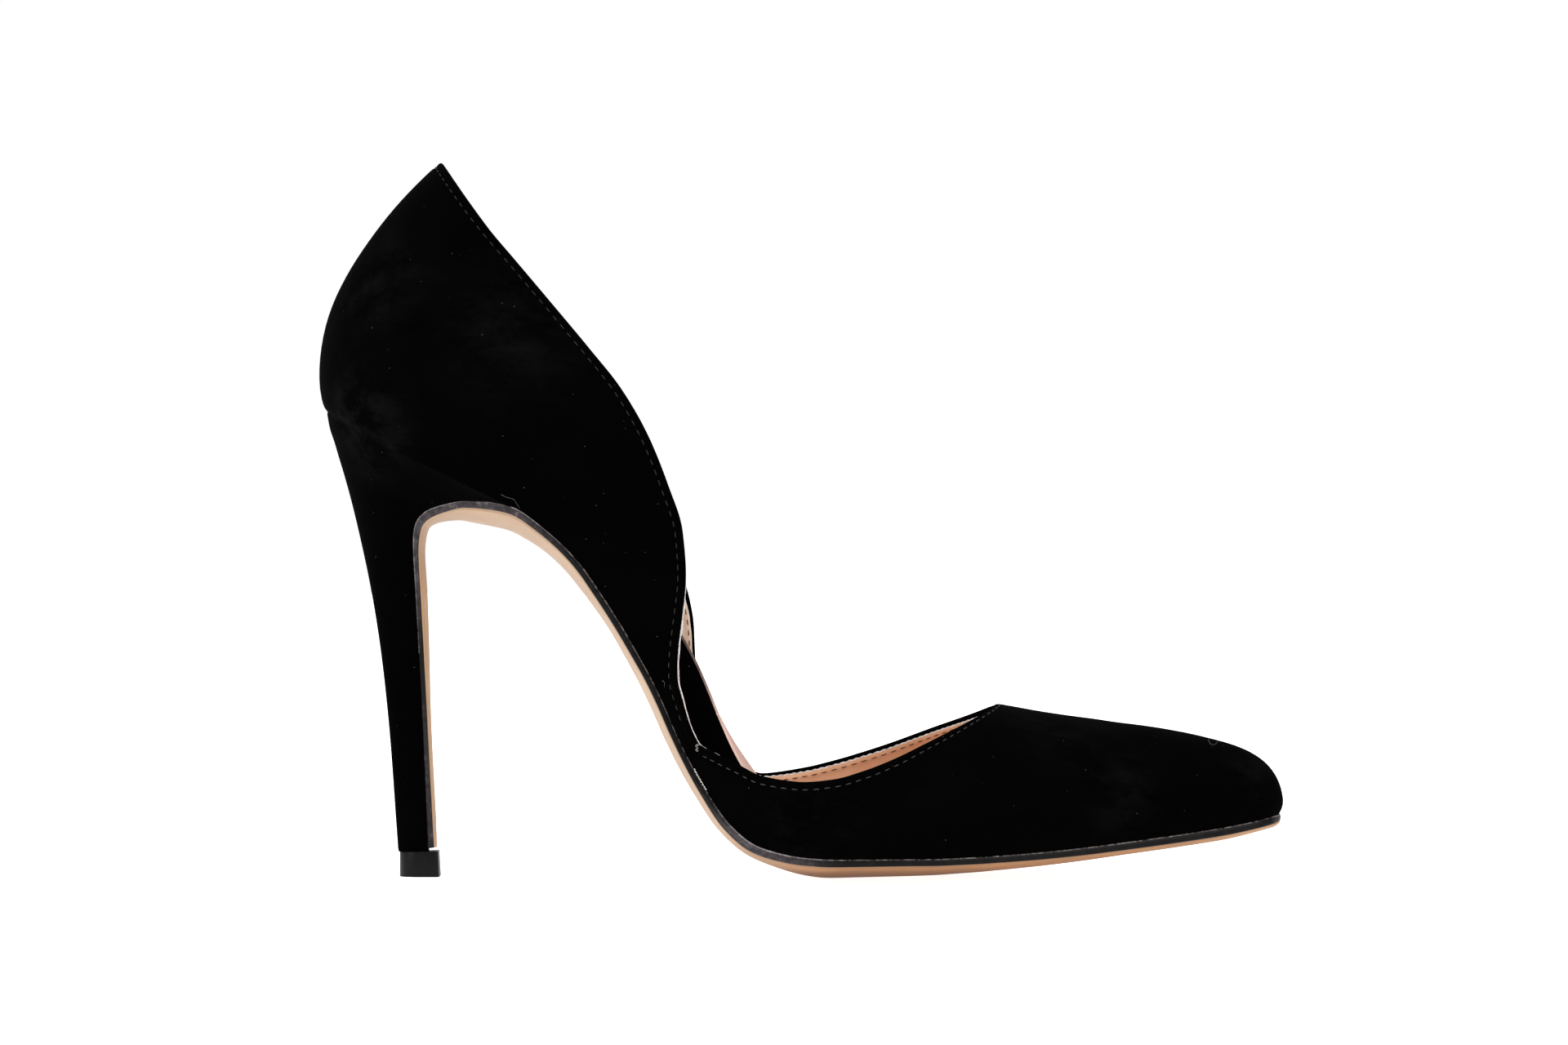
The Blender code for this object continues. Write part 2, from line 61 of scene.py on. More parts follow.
# Sections of the last. foot: sole edge in the side view. top, far: outer and inner topline, or the ridge
# once closed. outer, inner: y of the sole edge on either side. axis: y of the ridge. flare: how far the wall
# stands out beyond the sole edge, reached at flare_h. reach: share of the section up to the topline in
# degrees, 90 is the ridge. power: roundness, 2 is an ellipse.
Section = namedtuple(
    "Section", "foot_x foot_z top_x top_z far_x far_z outer inner axis flare flare_h reach power")
OPEN = [
    Section(-85.4, 93.9, -63.5, 136.0, -63.7, 135.6, 21.5, 25.5, 2.0, 3.5, 22, 43, 2.15),  # side of the seat
    Section(-76.8, 90.0, -54.4, 125.2, -54.7, 124.8, 21.6, 25.0, 2.0, 3.6, 24, 40, 2.15),
    Section(-68.0, 85.4, -45.8, 114.9, -46.2, 114.4, 20.8, 23.3, 1.6, 3.9, 25, 36, 2.15),
    Section(-59.9, 79.6, -38.8, 106.0, -39.3, 105.4, 19.6, 21.0, 1.0, 4.3, 26, 32, 2.15),
    Section(-53.5, 74.4, -33.3, 96.5, -34.0, 95.7, 18.8, 19.4, 0.5, 4.8, 26, 28, 2.15),
    Section(-48.0, 68.7, -28.8, 85.5, -29.8, 84.6, 18.4, 18.2, 0.0, 5.2, 26, 25, 2.15),
    Section(-43.5, 62.3, -25.7, 75.6, -27.8, 75.2, 18.1, 17.4, -0.3, 5.5, 26, 22, 2.15),
    Section(-39.4, 55.9, -25.0, 66.2, -26.5, 66.5, 18.0, 16.9, -0.5, 5.8, 26, 18, 2.15),
    Section(-35.7, 49.6, -25.8, 57.6, -24.75, 60.0, 18.2, 16.6, -0.5, 6.0, 26, 14, 2.15),
    Section(-32.5, 43.9, -26.75, 50.9, -23.95, 54.8, 18.7, 16.6, -0.5, 6.0, 25, 11, 2.15),
    Section(-29.6, 37.9, -27.35, 44.6, -23.75, 49.0, 19.4, 16.7, -0.5, 6.0, 24, 9, 2.15),
    Section(-26.8, 31.6, -25.95, 38.4, -23.2, 41.2, 20.5, 17.1, -0.5, 5.6, 22, 8, 2.15),
    Section(-23.6, 25.2, -22.3, 29.6, -21.2, 30.2, 22.1, 17.9, -0.5, 5.0, 20, 6, 2.15),  # low strip
    Section(-20.3, 19.6, -19.3, 27.9, -19.4, 27.1, 24.3, 19.2, -0.4, 4.4, 18, 9, 2.15),
    Section(-15.2, 12.6, -13.8, 25.4, -14.0, 23.8, 28.2, 21.7, -0.3, 3.6, 15, 12, 2.15),
    Section(-8.9, 8.1, -8.6, 23.1, -8.6, 21.5, 32.3, 25.2, -0.1, 2.8, 13, 13.5, 2.15),
    Section(0.4, 6.0, 0.4, 21.9, 0.4, 22.6, 35.3, 30.4, 0.2, 2.2, 11, 15.5, 2.15),
    Section(7.0, 5.6, 7.0, 22.5, 7.0, 24.1, 35.5, 33.1, 0.4, 2.0, 10.5, 18.5, 2.15),
    Section(13.6, 5.6, 13.6, 24.3, 13.6, 26.0, 34.6, 35.0, 0.6, 2.0, 10, 23.5, 2.15),
    Section(20.6, 5.6, 20.6, 27.0, 20.6, 28.4, 33.1, 35.5, 0.9, 2.0, 10, 31, 2.15),
    Section(27.6, 5.6, 27.6, 30.3, 27.6, 31.1, 31.3, 34.7, 1.1, 2.0, 10, 41.5, 2.15),
    Section(34.0, 5.8, 34.0, 33.3, 34.0, 33.6, 29.3, 33.1, 1.3, 2.0, 10, 53.5, 2.15),
    Section(38.6, 6.0, 38.6, 35.5, 38.6, 35.5, 27.8, 31.9, 1.4, 2.0, 10, 64.5, 2.15),
    Section(41.6, 6.2, 41.6, 36.9, 41.6, 36.9, 26.8, 31.0, 1.5, 2.0, 10, 74, 2.15),
    Section(43.0, 6.3, 43.0, 37.5, 43.0, 37.5, 26.3, 30.6, 1.6, 2.0, 10, 82.5, 2.15),
    Section(43.4, 6.3, 43.4, 37.6, 43.4, 37.6, 26.2, 30.5, 1.6, 2.0, 10, 90, 2.15),  # throat
]
CLOSED = [
    OPEN[-1],
    Section(51.6, 6.9, 51.6, 36.2, 51.6, 36.2, 23.2, 27.6, 1.9, 2.0, 10, 90, 2.15),
    Section(60.3, 7.7, 60.3, 34.9, 60.3, 34.9, 19.9, 24.5, 2.2, 2.0, 10, 90, 2.15),
    Section(70.0, 8.8, 69.5, 33.6, 69.5, 33.6, 15.9, 21.1, 2.6, 2.0, 10, 90, 2.12),
    Section(80.8, 10.1, 78.5, 32.4, 78.5, 32.4, 11.2, 17.4, 3.1, 1.9, 9, 90, 2.12),
    Section(91.8, 11.6, 85.6, 31.1, 85.6, 31.1, 6.5, 13.7, 3.6, 1.7, 8, 90, 2.15),
    Section(97.4, 12.5, 88.5, 30.4, 88.5, 30.4, 4.1, 11.8, 3.9, 1.5, 7, 90, 2.22),
    Section(100.6, 13.1, 88.5, 30.4, 88.5, 30.4, 2.5, 10.4, 3.9, 1.3, 6, 90, 2.28),
    Section(102.9, 13.6, 88.5, 30.4, 88.5, 30.4, 0.4, 8.3, 3.9, 1.1, 5, 90, 2.28),
    Section(104.3, 13.85, 88.5, 30.4, 88.5, 30.4, -1.8, 6.0, 3.9, 0.85, 4, 90, 2.28),
    Section(104.65, 13.95, 88.5, 30.4, 88.5, 30.4, -3.9, 3.9, 3.9, 0.8, 4, 90, 2.28),  # toe
]

# Back seam in the side view: its ends, and how far, how low and how fully it swells out behind them.
BACK_FOOT = (-103.2, 101.3)
BACK_TOP = (-78.6, 155.8)
BACK_BULGE = 8.75
BACK_LOW = 0.78
BACK_FULL = 0.85
HEEL_AXIS = 2.0        # y of the middle of the heel
TOP_SAG = 0.75         # dip of the topline beside the back seam
RIDGE_FALL = 0.25      # slope at which the ridge runs out over the toe

# Feather line, where suede and sole meet: how far it lies below the edge of the last, by x.
FEATHER_X = (-62.0, -39.0, -25.0, -10.0, 23.0, 35.0, 50.0, 71.0, 92.0, 104.0)
FEATHER = (0.0, -0.2, -0.15, 0.05, 0.1, 0.2, 0.35, 0.45, 0.5, 0.25)

# A place along the upper: -1 at the back seam, 0 at the side of the seat, then one for each section.
BACK = -1.0
THROAT = len(OPEN) - 1
TOE = THROAT + len(CLOSED) - 1
JOIN = 12.0            # where vamp and quarter meet at the topline
JOIN_SLANT = 0.25      # how far forward of that they meet at the sole
JOIN_REACH = 1.5       # how far along that slant dies away
JOIN_GAP = 0.07        # half the gap between them

# Lines along the upper, by place: beside the back seam, round the counter, then from section to section.
BESIDE_SEAM = (0.0, 0.008, 0.016, 0.026, 0.04, 0.06, 0.09)
COUNTER_FROM = 0.125
COUNTER_LINES = 24
OPEN_STEPS = 8
CLOSED_STEPS = 10
LEAST_STEP = 0.03      # least distance of a line from the ends of a panel

# Distances from the topline are taken square to it up to the first of these places, and down the wall from
# the second one on to the throat.
SQUARE_AT = (16.0, 20.0)
SQUARE_STEP = 0.6      # how far to either side the topline's direction is taken
SQUARE_LEAST = 0.3     # least sine of its angle to the wall that is allowed for

# Soft troughs (depth above 0) and ridges in the suede, by their middle in the side view, slope in degrees,
# half-length along, half-width across, and side: -1 outer, 1 inner, 0 both.
Crease = namedtuple("Crease", "x z slope length width depth side")
CREASES = [
    Crease(14.0, 14.0, 66, 8.0, 2.8, 0.26, 0),       # flex folds at the ball
    Crease(23.0, 15.5, 62, 9.0, 2.6, 0.22, 0),
    Crease(32.0, 19.0, 58, 10.0, 3.0, 0.16, 0),
    Crease(66.0, 24.0, 74, 14.0, 3.2, 0.14, 0),      # edge of the toe stiffener
    Crease(-49.0, 86.0, 58, 15.0, 3.0, -0.16, 0),    # edge of the heel stiffener
    Crease(-44.0, 80.0, 50, 10.0, 3.4, 0.20, -1),
    Crease(-70.0, 100.0, -32, 16.0, 5.0, 0.16, -1),  # hand marks on the counter
    Crease(-84.0, 122.0, 48, 14.0, 4.0, 0.14, 0),
    Crease(-62.0, 118.0, -48, 12.0, 4.5, -0.12, 0),
    Crease(-36.0, 60.0, 62, 9.0, 2.5, 0.14, 0),      # drag lines towards the waist
    Crease(-31.0, 51.0, 60, 8.0, 2.0, -0.12, 0),
]
# Places where a sheen is painted into the nap's colour, where it catches the light: middle, size and
# strength.
PAINTED_SHEEN_SPOTS = [
    (-94.0, -16.0, 98.0, 18.0, 0.9),       # counter base
    (-92.0, -14.0, 128.0, 22.0, 0.35),
    (-62.0, -22.0, 118.0, 24.0, 0.4),
    (70.0, -15.0, 18.0, 15.0, 0.4),        # toe side
    (58.0, -12.0, 33.0, 18.0, 0.35),
    (98.0, -3.0, 24.0, 10.0, 0.4),
    (2.0, -36.0, 13.0, 16.0, 0.45),        # ball
]
WAVE_SIZE = 13.0       # slow unevenness of the pulled suede
WAVE_DEPTH = 0.14
STITCH_IN = 1.55       # topline stitching from the edge
STITCH_TROUGH = 0.2
STITCH_WIDTH = 0.5
TROUGH_X = (35.0, 41.0)  # where the trough fades out before the throat
BACK_SEAM_DEPTH = 0.3
BACK_SEAM_WIDTH = 0.45


def smooth(values, at):
    """Values given at 0, 1, 2 and so on, read at places between them without overshoot."""
    value = np.asarray(values, float)
    step = np.diff(value)
    meet = step[:-1] * step[1:]
    mean = np.divide(2 * meet, step[:-1] + step[1:], out=np.zeros_like(meet), where=meet > 0)
    slope = np.concatenate((step[:1], mean, step[-1:]))
    k = np.clip(np.floor(at).astype(int), 0, len(step) - 1)
    t = at - k
    start = (1 + 2 * t) * (1 - t) ** 2 * value[k] + t * (1 - t) ** 2 * slope[k]
    return start + t * t * (3 - 2 * t) * value[k + 1] + t * t * (t - 1) * slope[k + 1]


def rows_at(table, at):
    """The columns of a table of sizes, read at places between its rows."""
    return [smooth(column, at) for column in zip(*table)]


def steps_along(table, steps):
    """Places along a table, with this many steps from row to row."""
    return np.linspace(0, len(table) - 1, (len(table) - 1) * steps + 1)


def running(points):
    """Length along a line of points."""
    return np.concatenate(((0.0,), np.cumsum(np.linalg.norm(np.diff(points, axis=0), axis=1))))


def unit(vectors):
    """Rows of vectors, each at a length of one."""
    return vectors / np.maximum(np.linalg.norm(vectors, axis=1), 1e-12)[:, None]


def feather(x):
    """How far the feather line lies below the edge of the last."""
    return np.interp(x, FEATHER_X, FEATHER)


def wall(at, share, side):
    """Outer face of the last at places along it, share of the way from sole edge to topline or ridge."""
    closed = at[0] > THROAT
    table = CLOSED if closed else OPEN
    at = at - THROAT if closed else at
    row = Section(*rows_at(table, at))
    lean_x = (row.top_x if side < 0 else row.far_x) - row.foot_x
    lean_z = (row.top_z if side < 0 else row.far_z) - row.foot_z
    reach = np.radians(row.reach)
    power = 2 / row.power
    full = np.sin(reach) ** power
    up = np.sin(reach * share) ** power / full
    out = np.clip(np.cos(reach * share), 0, 1) ** power
    if closed:
        out = np.where(share < 1, out, 0.0)
    room = np.clip(1 - np.hypot(lean_x, lean_z) * up / row.flare_h, 0, None)
    ridge_x = row.top_x if closed else row.foot_x
    spread_x = row.foot_x - ridge_x
    spread_y = side * (row.outer if side < 0 else row.inner) - row.axis
    widen = (1 + row.flare * (1 - room ** 2) / np.maximum(np.hypot(spread_x, spread_y), 1e-6)) * out
    x = ridge_x + spread_x * widen + (0.0 if closed else lean_x * up)
    z = row.foot_z + lean_z * up - RIDGE_FALL * spread_x * widen * (1 - out)
    return np.stack((x, row.axis + spread_y * widen, z), axis=1)


def back_wall(share):
    """Outer face of the counter along the back seam."""
    foot = np.array(BACK_FOOT)
    chord = np.array(BACK_TOP) - foot
    behind = np.array((-chord[1], chord[0])) / np.hypot(*chord)
    bulge = BACK_BULGE * np.clip(np.sin(math.pi * share ** BACK_LOW), 0, 1) ** BACK_FULL
    x, z = foot[:, None] + chord[:, None] * share + behind[:, None] * bulge
    return np.stack((x, np.full_like(x, HEEL_AXIS), z), axis=1)


def last_face(at, share, side):
    """Outer face of the last, the rounded heel included."""
    if at[0] >= 0:
        return wall(at, share, side)
    seat = wall(np.zeros_like(share), share, side)
    turn = math.pi / 2 * (at[0] - BACK)
    points = seat + (back_wall(share) - seat) * math.cos(turn)
    points[:, 1] = HEEL_AXIS + (seat[:, 1] - HEEL_AXIS) * math.sin(turn)
    points[:, 2] -= TOP_SAG * share * 4 * math.cos(turn) * (1 - math.cos(turn))
    return points


def traced(at, side):
    """One line up the outer face with its running length, carried straight on past both ends."""
    share = np.linspace(0, 1, SAMPLES)
    slant = JOIN_SLANT * math.exp(-((at - JOIN) / JOIN_REACH) ** 2)
    line = last_face(at + slant * (1 - share), share, side)
    run = running(line)
    first, last = line[[0, -1]] + unit(line[[0, -1]] - line[[2, -3]]) * OVERRUN
    return np.vstack((first, line, last)), np.concatenate(((-OVERRUN,), run, (run[-1] + OVERRUN,)))


def read_line(line, run, at):
    return np.stack([np.interp(at, run, line[:, k]) for k in range(3)], axis=1)


def slanted(at, side, line):
    """How much longer a distance square to the topline is when it is measured down a line of the wall."""
    near = np.clip((at - SQUARE_STEP, at + SQUARE_STEP), BACK, THROAT)
    before, after = (last_face(np.array((place,)), np.ones(1), side)[0] for place in near)
    along, rise = unit(np.stack((after - before, line[-1] - line[-2])))
    sine = np.linalg.norm(np.cross(along, rise))
    return 1 + (1 / max(sine, SQUARE_LEAST) - 1) * np.interp(at, SQUARE_AT, (1, 0))


def wall_line(at, side, tuck, trim, levels=WALL_LEVELS):
    """Points up the wall, close together near both edges, with their distance below topline and own edge."""
    line, run = traced(at, side)
    longer = slanted(at, side, line) if at < THROAT else 1.0
    length = run[-2]
    low = -tuck - feather(line[1][0])
    high = length - (trim * longer if at < THROAT else 0.0)
    foot_band = min(FOOT_BAND, (high - low) / 4)
    top_band = min(TOP_BAND * longer, (high - low) / 2)
    near_foot = low + np.array(IN_FOOT_BAND) * foot_band / FOOT_BAND
    near_top = high - np.array(IN_TOP_BAND[::-1]) * top_band / TOP_BAND
    between = np.linspace(low + foot_band, high - top_band, levels)
    places = np.concatenate((near_foot, between, near_top))
    away = 0.0 if at < THROAT else NO_TOPLINE
    below = (length - places) / longer + away
    return np.column_stack((read_line(line, run, places), below, (high - places) / longer + away))


def sheet(lines):
    """Points and faces of a sheet through lines of equal length; points that fall together become one."""
    places = {}
    points = []
    grid = []
    for line in lines:
        row = []
        for point in line:
            key = tuple(np.round(point[:3], 3))
            if key not in places:
                places[key] = len(points)
                points.append(point)
            row.append(places[key])
        grid.append(row)
    faces = []
    for here, there in zip(grid, grid[1:]):
        for k in range(len(here) - 1):
            corners = list(dict.fromkeys((here[k], there[k], there[k + 1], here[k + 1])))
            if len(corners) > 2:
                faces.append(corners)
    return np.array(points), faces


def point_normals(points, faces):
    four = np.array([face if len(face) == 4 else face + face[-1:] for face in faces])
    a, b, c, d = (points[four[:, k]] for k in range(4))
    across = np.cross(c - a, d - b)
    normal = np.zeros_like(points)
    for k in range(4):
        np.add.at(normal, four[:, k], across)
    return unit(normal)


def relief(points, below):
    """Height of the suede over the last: creases, stitch trough, back seam and slow unevenness."""
    x, y, z = points.T
    height = np.zeros(len(points))
    side = np.where(y < HEEL_AXIS, -1, 1)
    for crease in CREASES:
        turn = math.radians(crease.slope)
        along = (x - crease.x) * math.cos(turn) + (z - crease.z) * math.sin(turn)
        across = (z - crease.z) * math.cos(turn) - (x - crease.x) * math.sin(turn)
        shape = np.exp(-(along / crease.length) ** 2 - (across / crease.width) ** 2)
        height -= crease.depth * shape * ((side == crease.side) | (crease.side == 0))
    trough = STITCH_TROUGH * np.interp(x, TROUGH_X, (1, 0))
    height -= trough * np.exp(-((below - STITCH_IN) / STITCH_WIDTH) ** 2)
    seam = np.exp(-((y - HEEL_AXIS) / BACK_SEAM_WIDTH) ** 2)
    height -= BACK_SEAM_DEPTH * seam * (x < BACK_TOP[0])
    wave = [noise.noise(Vector(point) / WAVE_SIZE) for point in points]
    return height + WAVE_DEPTH * np.array(wave)


def thicken(points, faces, thickness):
    """A solid made inwards from a sheet: its points, its faces with a half-round edge last, and the rim."""
    normal = point_normals(points, faces)
    inside = points - normal * thickness
    count = len(points)
    solid = [points, inside]
    shell = [list(face) for face in faces]
    shell += [[corner + count for corner in reversed(face)] for face in faces]
    sides = {}
    for face in faces:
        for a, b in zip(face, face[1:] + face[:1]):
            sides[a, b] = True
    rim = [(a, b) for a, b in sides if (b, a) not in sides]
    away = {}
    for a, b in rim:
        edge = points[b] - points[a]
        out = np.cross(edge, normal[a] + normal[b])
        out /= max(np.linalg.norm(out), 1e-9)
        for corner in (a, b):
            away[corner] = away.get(corner, 0) + out
    chain = {}
    total = 2 * count
    for corner, out in away.items():
        out = out / max(np.linalg.norm(out), 1e-9)
        middle = (points[corner] + inside[corner]) / 2
        turn = np.linspace(0, math.pi, EDGE_STEPS + 1)[1:-1, None]
        solid.append(middle + thickness / 2 * (np.cos(turn) * normal[corner] + np.sin(turn) * out))
        chain[corner] = [corner, *range(total, total + EDGE_STEPS - 1), corner + count]
        total += EDGE_STEPS - 1
    for a, b in rim:
        for k in range(EDGE_STEPS):
            shell.append([chain[b][k], chain[a][k], chain[a][k + 1], chain[b][k + 1]])
    return np.vstack(solid), shell, rim


def to_linear(colour):
    """An sRGB hex colour as the linear RGBA that shader sockets take."""
    parts = [int(colour[k:k + 2], 16) / 255 for k in (0, 2, 4)]
    return (*(c / 12.92 if c <= 0.04045 else ((c + 0.055) / 1.055) ** 2.4 for c in parts), 1.0)


def link(material, source, socket):
    """Joins an output, or the first output of a node, to a socket."""
    output = source.outputs[0] if isinstance(source, bpy.types.Node) else source
    material.node_tree.links.new(output, socket)


def add_node(material, kind, settings=None, links=None, stops=None):
    """One node with its settings (inputs or properties), its links and the stops of a colour ramp."""
    node = material.node_tree.nodes.new("ShaderNode" + kind)
    for name, value in (settings or {}).items():
        if isinstance(name, int) or name in node.inputs:
            node.inputs[name].default_value = value
        else:
            setattr(node, name, value)
    for name, source in (links or {}).items():
        link(material, source, node.inputs[name])
    for k, (place, colour) in enumerate(stops or ()):
        ramp = node.color_ramp.elements
        stop = ramp[k] if k < 2 else ramp.new(place)
        stop.position = place
        stop.color = to_linear(colour)
    return node


def new_finish(name, settings):
    """A named material, its Principled shader with what is the same all over, and the place for patterns."""
    material = bpy.data.materials.new(name)
    material.use_nodes = True
    material.node_tree.nodes.clear()
    shader = add_node(material, "BsdfPrincipled", settings)
    add_node(material, "OutputMaterial", {}, {"Surface": shader})
    return material, shader, add_node(material, "TexCoord").outputs["Object"]


def plug(material, shader, **sources):
    """Links what varies over the surface, such as Base Color, Roughness or Normal, to the shader."""
    for name, source in sources.items():
        link(material, source, shader.inputs[name.replace("_", " ")])


def per_mm(size):
    """Texture scale that repeats about once in a size given in millimetres."""
    return 1.0 / (size * MM)


def add_object(name, data):
    """An object in the scene that shows a mesh, a lamp or a camera."""
    item = bpy.data.objects.new(name, data)
    bpy.context.scene.collection.objects.link(item)
    return item


def add_piece(name, points, faces, materials, slots=None, sharp=40):
    """A mesh object from points in millimetres; slots gives each face its material."""
    mesh = bpy.data.meshes.new(name)
    mesh.from_pydata((np.asarray(points) * MM).tolist(), [], faces)
    for material in materials:
        mesh.materials.append(material)
    if slots is not None:
        mesh.polygons.foreach_set("material_index", np.asarray(slots, dtype=np.int32))
    mesh.shade_smooth()
    mesh.set_sharp_from_angle(angle=math.radians(sharp))
    mesh.validate()
    piece = add_object(name, mesh)
    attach(piece, "root")
    return piece


def spot_strength(material, place, spot, core):
    """How strongly a spot of painted sheen, painted highlight or wear shows: evenly over a core share of its
    reach, then less and less.
    """
    x, y, z, reach, strength = spot
    away = add_node(material, "VectorMath", {
        "operation": "DISTANCE", 1: (x * MM, y * MM, z * MM)}, {0: place})
    return add_node(material, "MapRange", {
        "interpolation_type": "SMOOTHSTEP", "From Min": core * reach * MM, "From Max": reach * MM,
        "To Min": strength, "To Max": 0.0}, {"Value": away.outputs["Value"]})


def suede_finish(name, nap_turn):
    """Split suede, dyed black and brushed: soaks up light, with a faint grey haze painted where the nap
    catches the light.
    """
    material, shader, place = new_finish(name, {
        "Roughness": 1.0, "Specular IOR Level": 0.01,
        "Sheen Weight": 0.006, "Sheen Roughness": 0.5, "Sheen Tint": to_linear("d8d2d0")})
    brushed = add_node(material, "Mapping", {"Rotation": (0.0, nap_turn, 0.0), "Scale": (0.45, 1.0, 1.0)},
                       {"Vector": place})
    patches = add_node(material, "TexNoise", {
        "Scale": per_mm(24.0), "Detail": 5.0, "Roughness": 0.6, "Distortion": 0.6}, {"Vector": brushed})
    colour = add_node(material, "ValToRGB", {}, {"Fac": patches},
                      ((0.35, "010101"), (0.62, "020202"), (0.8, "060505")))
    # Painted sheen: a patchy grey haze painted into the colour where the nap catches the light.
    patchy = add_node(material, "TexNoise", {"Scale": per_mm(7.0), "Detail": 7.0, "Roughness": 0.72},
                      {"Vector": brushed})
    tone_shift = add_node(material, "MapRange", {"From Min": 0.42, "From Max": 0.75}, {"Value": patchy})
    for spot in PAINTED_SHEEN_SPOTS:
        uneven = add_node(material, "Math", {"operation": "MULTIPLY"},
                          {0: spot_strength(material, place, spot, 0.0), 1: tone_shift})
        haze = add_node(material, "Mix", {"data_type": "RGBA", 7: to_linear("181717")},
                        {0: uneven, 6: colour})
        colour = haze.outputs[2]
    # Lint: specks up to 0.3 mm across, about one to 60 square millimetres.
    lint = add_node(material, "TexVoronoi", {"Scale": per_mm(2.2)}, {"Vector": place})
    small = add_node(material, "MapRange", {"From Min": 0.065, "From Max": 0.035}, {"Value": lint})
    pick = add_node(material, "SeparateColor", {}, {"Color": lint.outputs["Color"]})
    some = add_node(material, "MapRange", {"From Min": 0.55, "From Max": 1.0, "To Max": 0.8}, {"Value": pick})
    speck = add_node(material, "Math", {"operation": "MULTIPLY"}, {0: small, 1: some})
    dusty = add_node(material, "Mix", {"data_type": "RGBA", 7: to_linear("5c5956")}, {0: speck, 6: colour})
    # Nap fibres are finer than the picture shows, so they are drawn 0.7 mm apart.
    nap = add_node(material, "TexNoise", {"Scale": per_mm(0.7), "Detail": 4.0, "Roughness": 0.7},
                   {"Vector": place})
    raised = add_node(material, "Bump", {"Strength": 0.5, "Distance": 0.2 * MM}, {"Height": nap})
    plug(material, shader, Base_Color=dusty.outputs[2], Normal=raised)
    return material


def upper_places(first, last):
    """Places along one side from first to last, closer together at the back seam."""
    back = BACK + np.array(BESIDE_SEAM)
    counter = np.linspace(BACK + COUNTER_FROM, 0, COUNTER_LINES, endpoint=False)
    closed = THROAT + steps_along(CLOSED, CLOSED_STEPS)[1:]
    every = np.concatenate((back, counter, steps_along(OPEN, OPEN_STEPS), closed))
    inner = every[(every > first + LEAST_STEP) & (every < last - LEAST_STEP)]
    return [first, *inner, last]


def pulled(lines, inset=0.0):
    """The sheet through these lines with the suede's relief on it, moved inwards by an inset."""
    traced_points, faces = sheet(lines)
    points = traced_points[:, :3]
    normal = point_normals(points, faces)
    height = relief(points, traced_points[:, 3]) - inset
    return points + normal * height[:, None], faces, traced_points[:, 4]


def suede_lines(places, side):
    return [wall_line(at, side, FOOT_TUCK - SUEDE / 2, EDGE_TRIM) for at in places]


quarter_places = upper_places(BACK, JOIN - JOIN_GAP)
quarter_lines = suede_lines(quarter_places[::-1], 1) + suede_lines(quarter_places[1:], -1)
vamp_places = upper_places(JOIN + JOIN_GAP, TOE)
vamp_lines = suede_lines(vamp_places, -1) + suede_lines(vamp_places[-2::-1], 1)

suede_faces = []
for name, lines, nap_turn in (("suede_quarter", quarter_lines, 0.9), ("suede_vamp", vamp_lines, -0.25)):
    points, faces, _ = pulled(lines)
    suede_faces.append(BVHTree.FromPolygons(points.tolist(), faces))
    points, faces, _ = thicken(points, faces, SUEDE)
    panel = add_piece(name, points, faces, [suede_finish("black_split_suede", nap_turn)])
    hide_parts("upper")

# Lining: thin tan sheepskin glued inside the suede, a pinker skin round the heel; inside the vamp its warmer
# orange tan is partly painted bounce light. Its cut edge is left raw and white, pinked inside the vamp below
# a folded band of suede, and just proud at the open waist.
LINING = 0.5
LINING_ROOM = 0.06
PINK_PITCH = 1.7       # teeth of the pinked edge
PINK_DEPTH = 0.24
PINK_STEPS = 3         # how much finer the lines lie where it is pinked
PINKED_FROM = JOIN + 2
KNIFE_WAVER = 0.25     # waver of the plain cut edge, as a share of a tooth
KNIFE_TURN = 2.3       # and its turn in radians for every tooth
LINING_FOOT = 0.3      # where it starts above the feather line
LINING_LEVELS = 14
CUT_NEAR = 0.01        # points this near to its edge lie on the cut
QUARTER_LINING_END = JOIN + 0.3
VAMP_LINING_START = JOIN + 0.42

# How far the lining stops below the edge of the suede, by place along the upper.
LINING_AT = (-1.0, 5.0, 6.5, 7.3, 8.0, 9.0, 10.0, 11.0, 11.9, 12.3, 13.2, 13.8, 14.2, 16.0, 25.0)
LINING_DROP_OUTER = (1.0, 1.0, 0.2, -0.4, -0.6, -0.35, -0.1, -0.05, -0.03, 0.0, 0.03, 0.1, 0.25, 0.75, 0.75)
LINING_DROP_INNER = (0.8, 0.8, 0.7, 0.75, 0.75, 0.75, 0.75, 0.75, 0.7, 0.7, 0.35, 0.15, 0.1, 0.45, 0.55)


def lining_finish(name, dark, middle, light):
    """Glazed sheepskin: smooth and waxy, mottled by uneven dye, its fine pores drawn 0.8 mm apart."""
    material, shader, place = new_finish(name, {"Roughness": 0.62, "IOR": 1.45, "Specular IOR Level": 0.3})
    mottle = add_node(material, "TexNoise", {"Scale": per_mm(9.0), "Detail": 6.0, "Roughness": 0.65},
                      {"Vector": place})
    dye = add_node(material, "ValToRGB", {}, {"Fac": mottle}, ((0.3, dark), (0.55, middle), (0.75, light)))
    pores = add_node(material, "TexVoronoi", {"Scale": per_mm(0.8), "feature": "SMOOTH_F1"},
                     {"Vector": place})
    grain = add_node(material, "Bump", {"Strength": 0.35, "Distance": 0.06 * MM}, {"Height": pores})
    plug(material, shader, Base_Color=dye, Normal=grain)
    return material


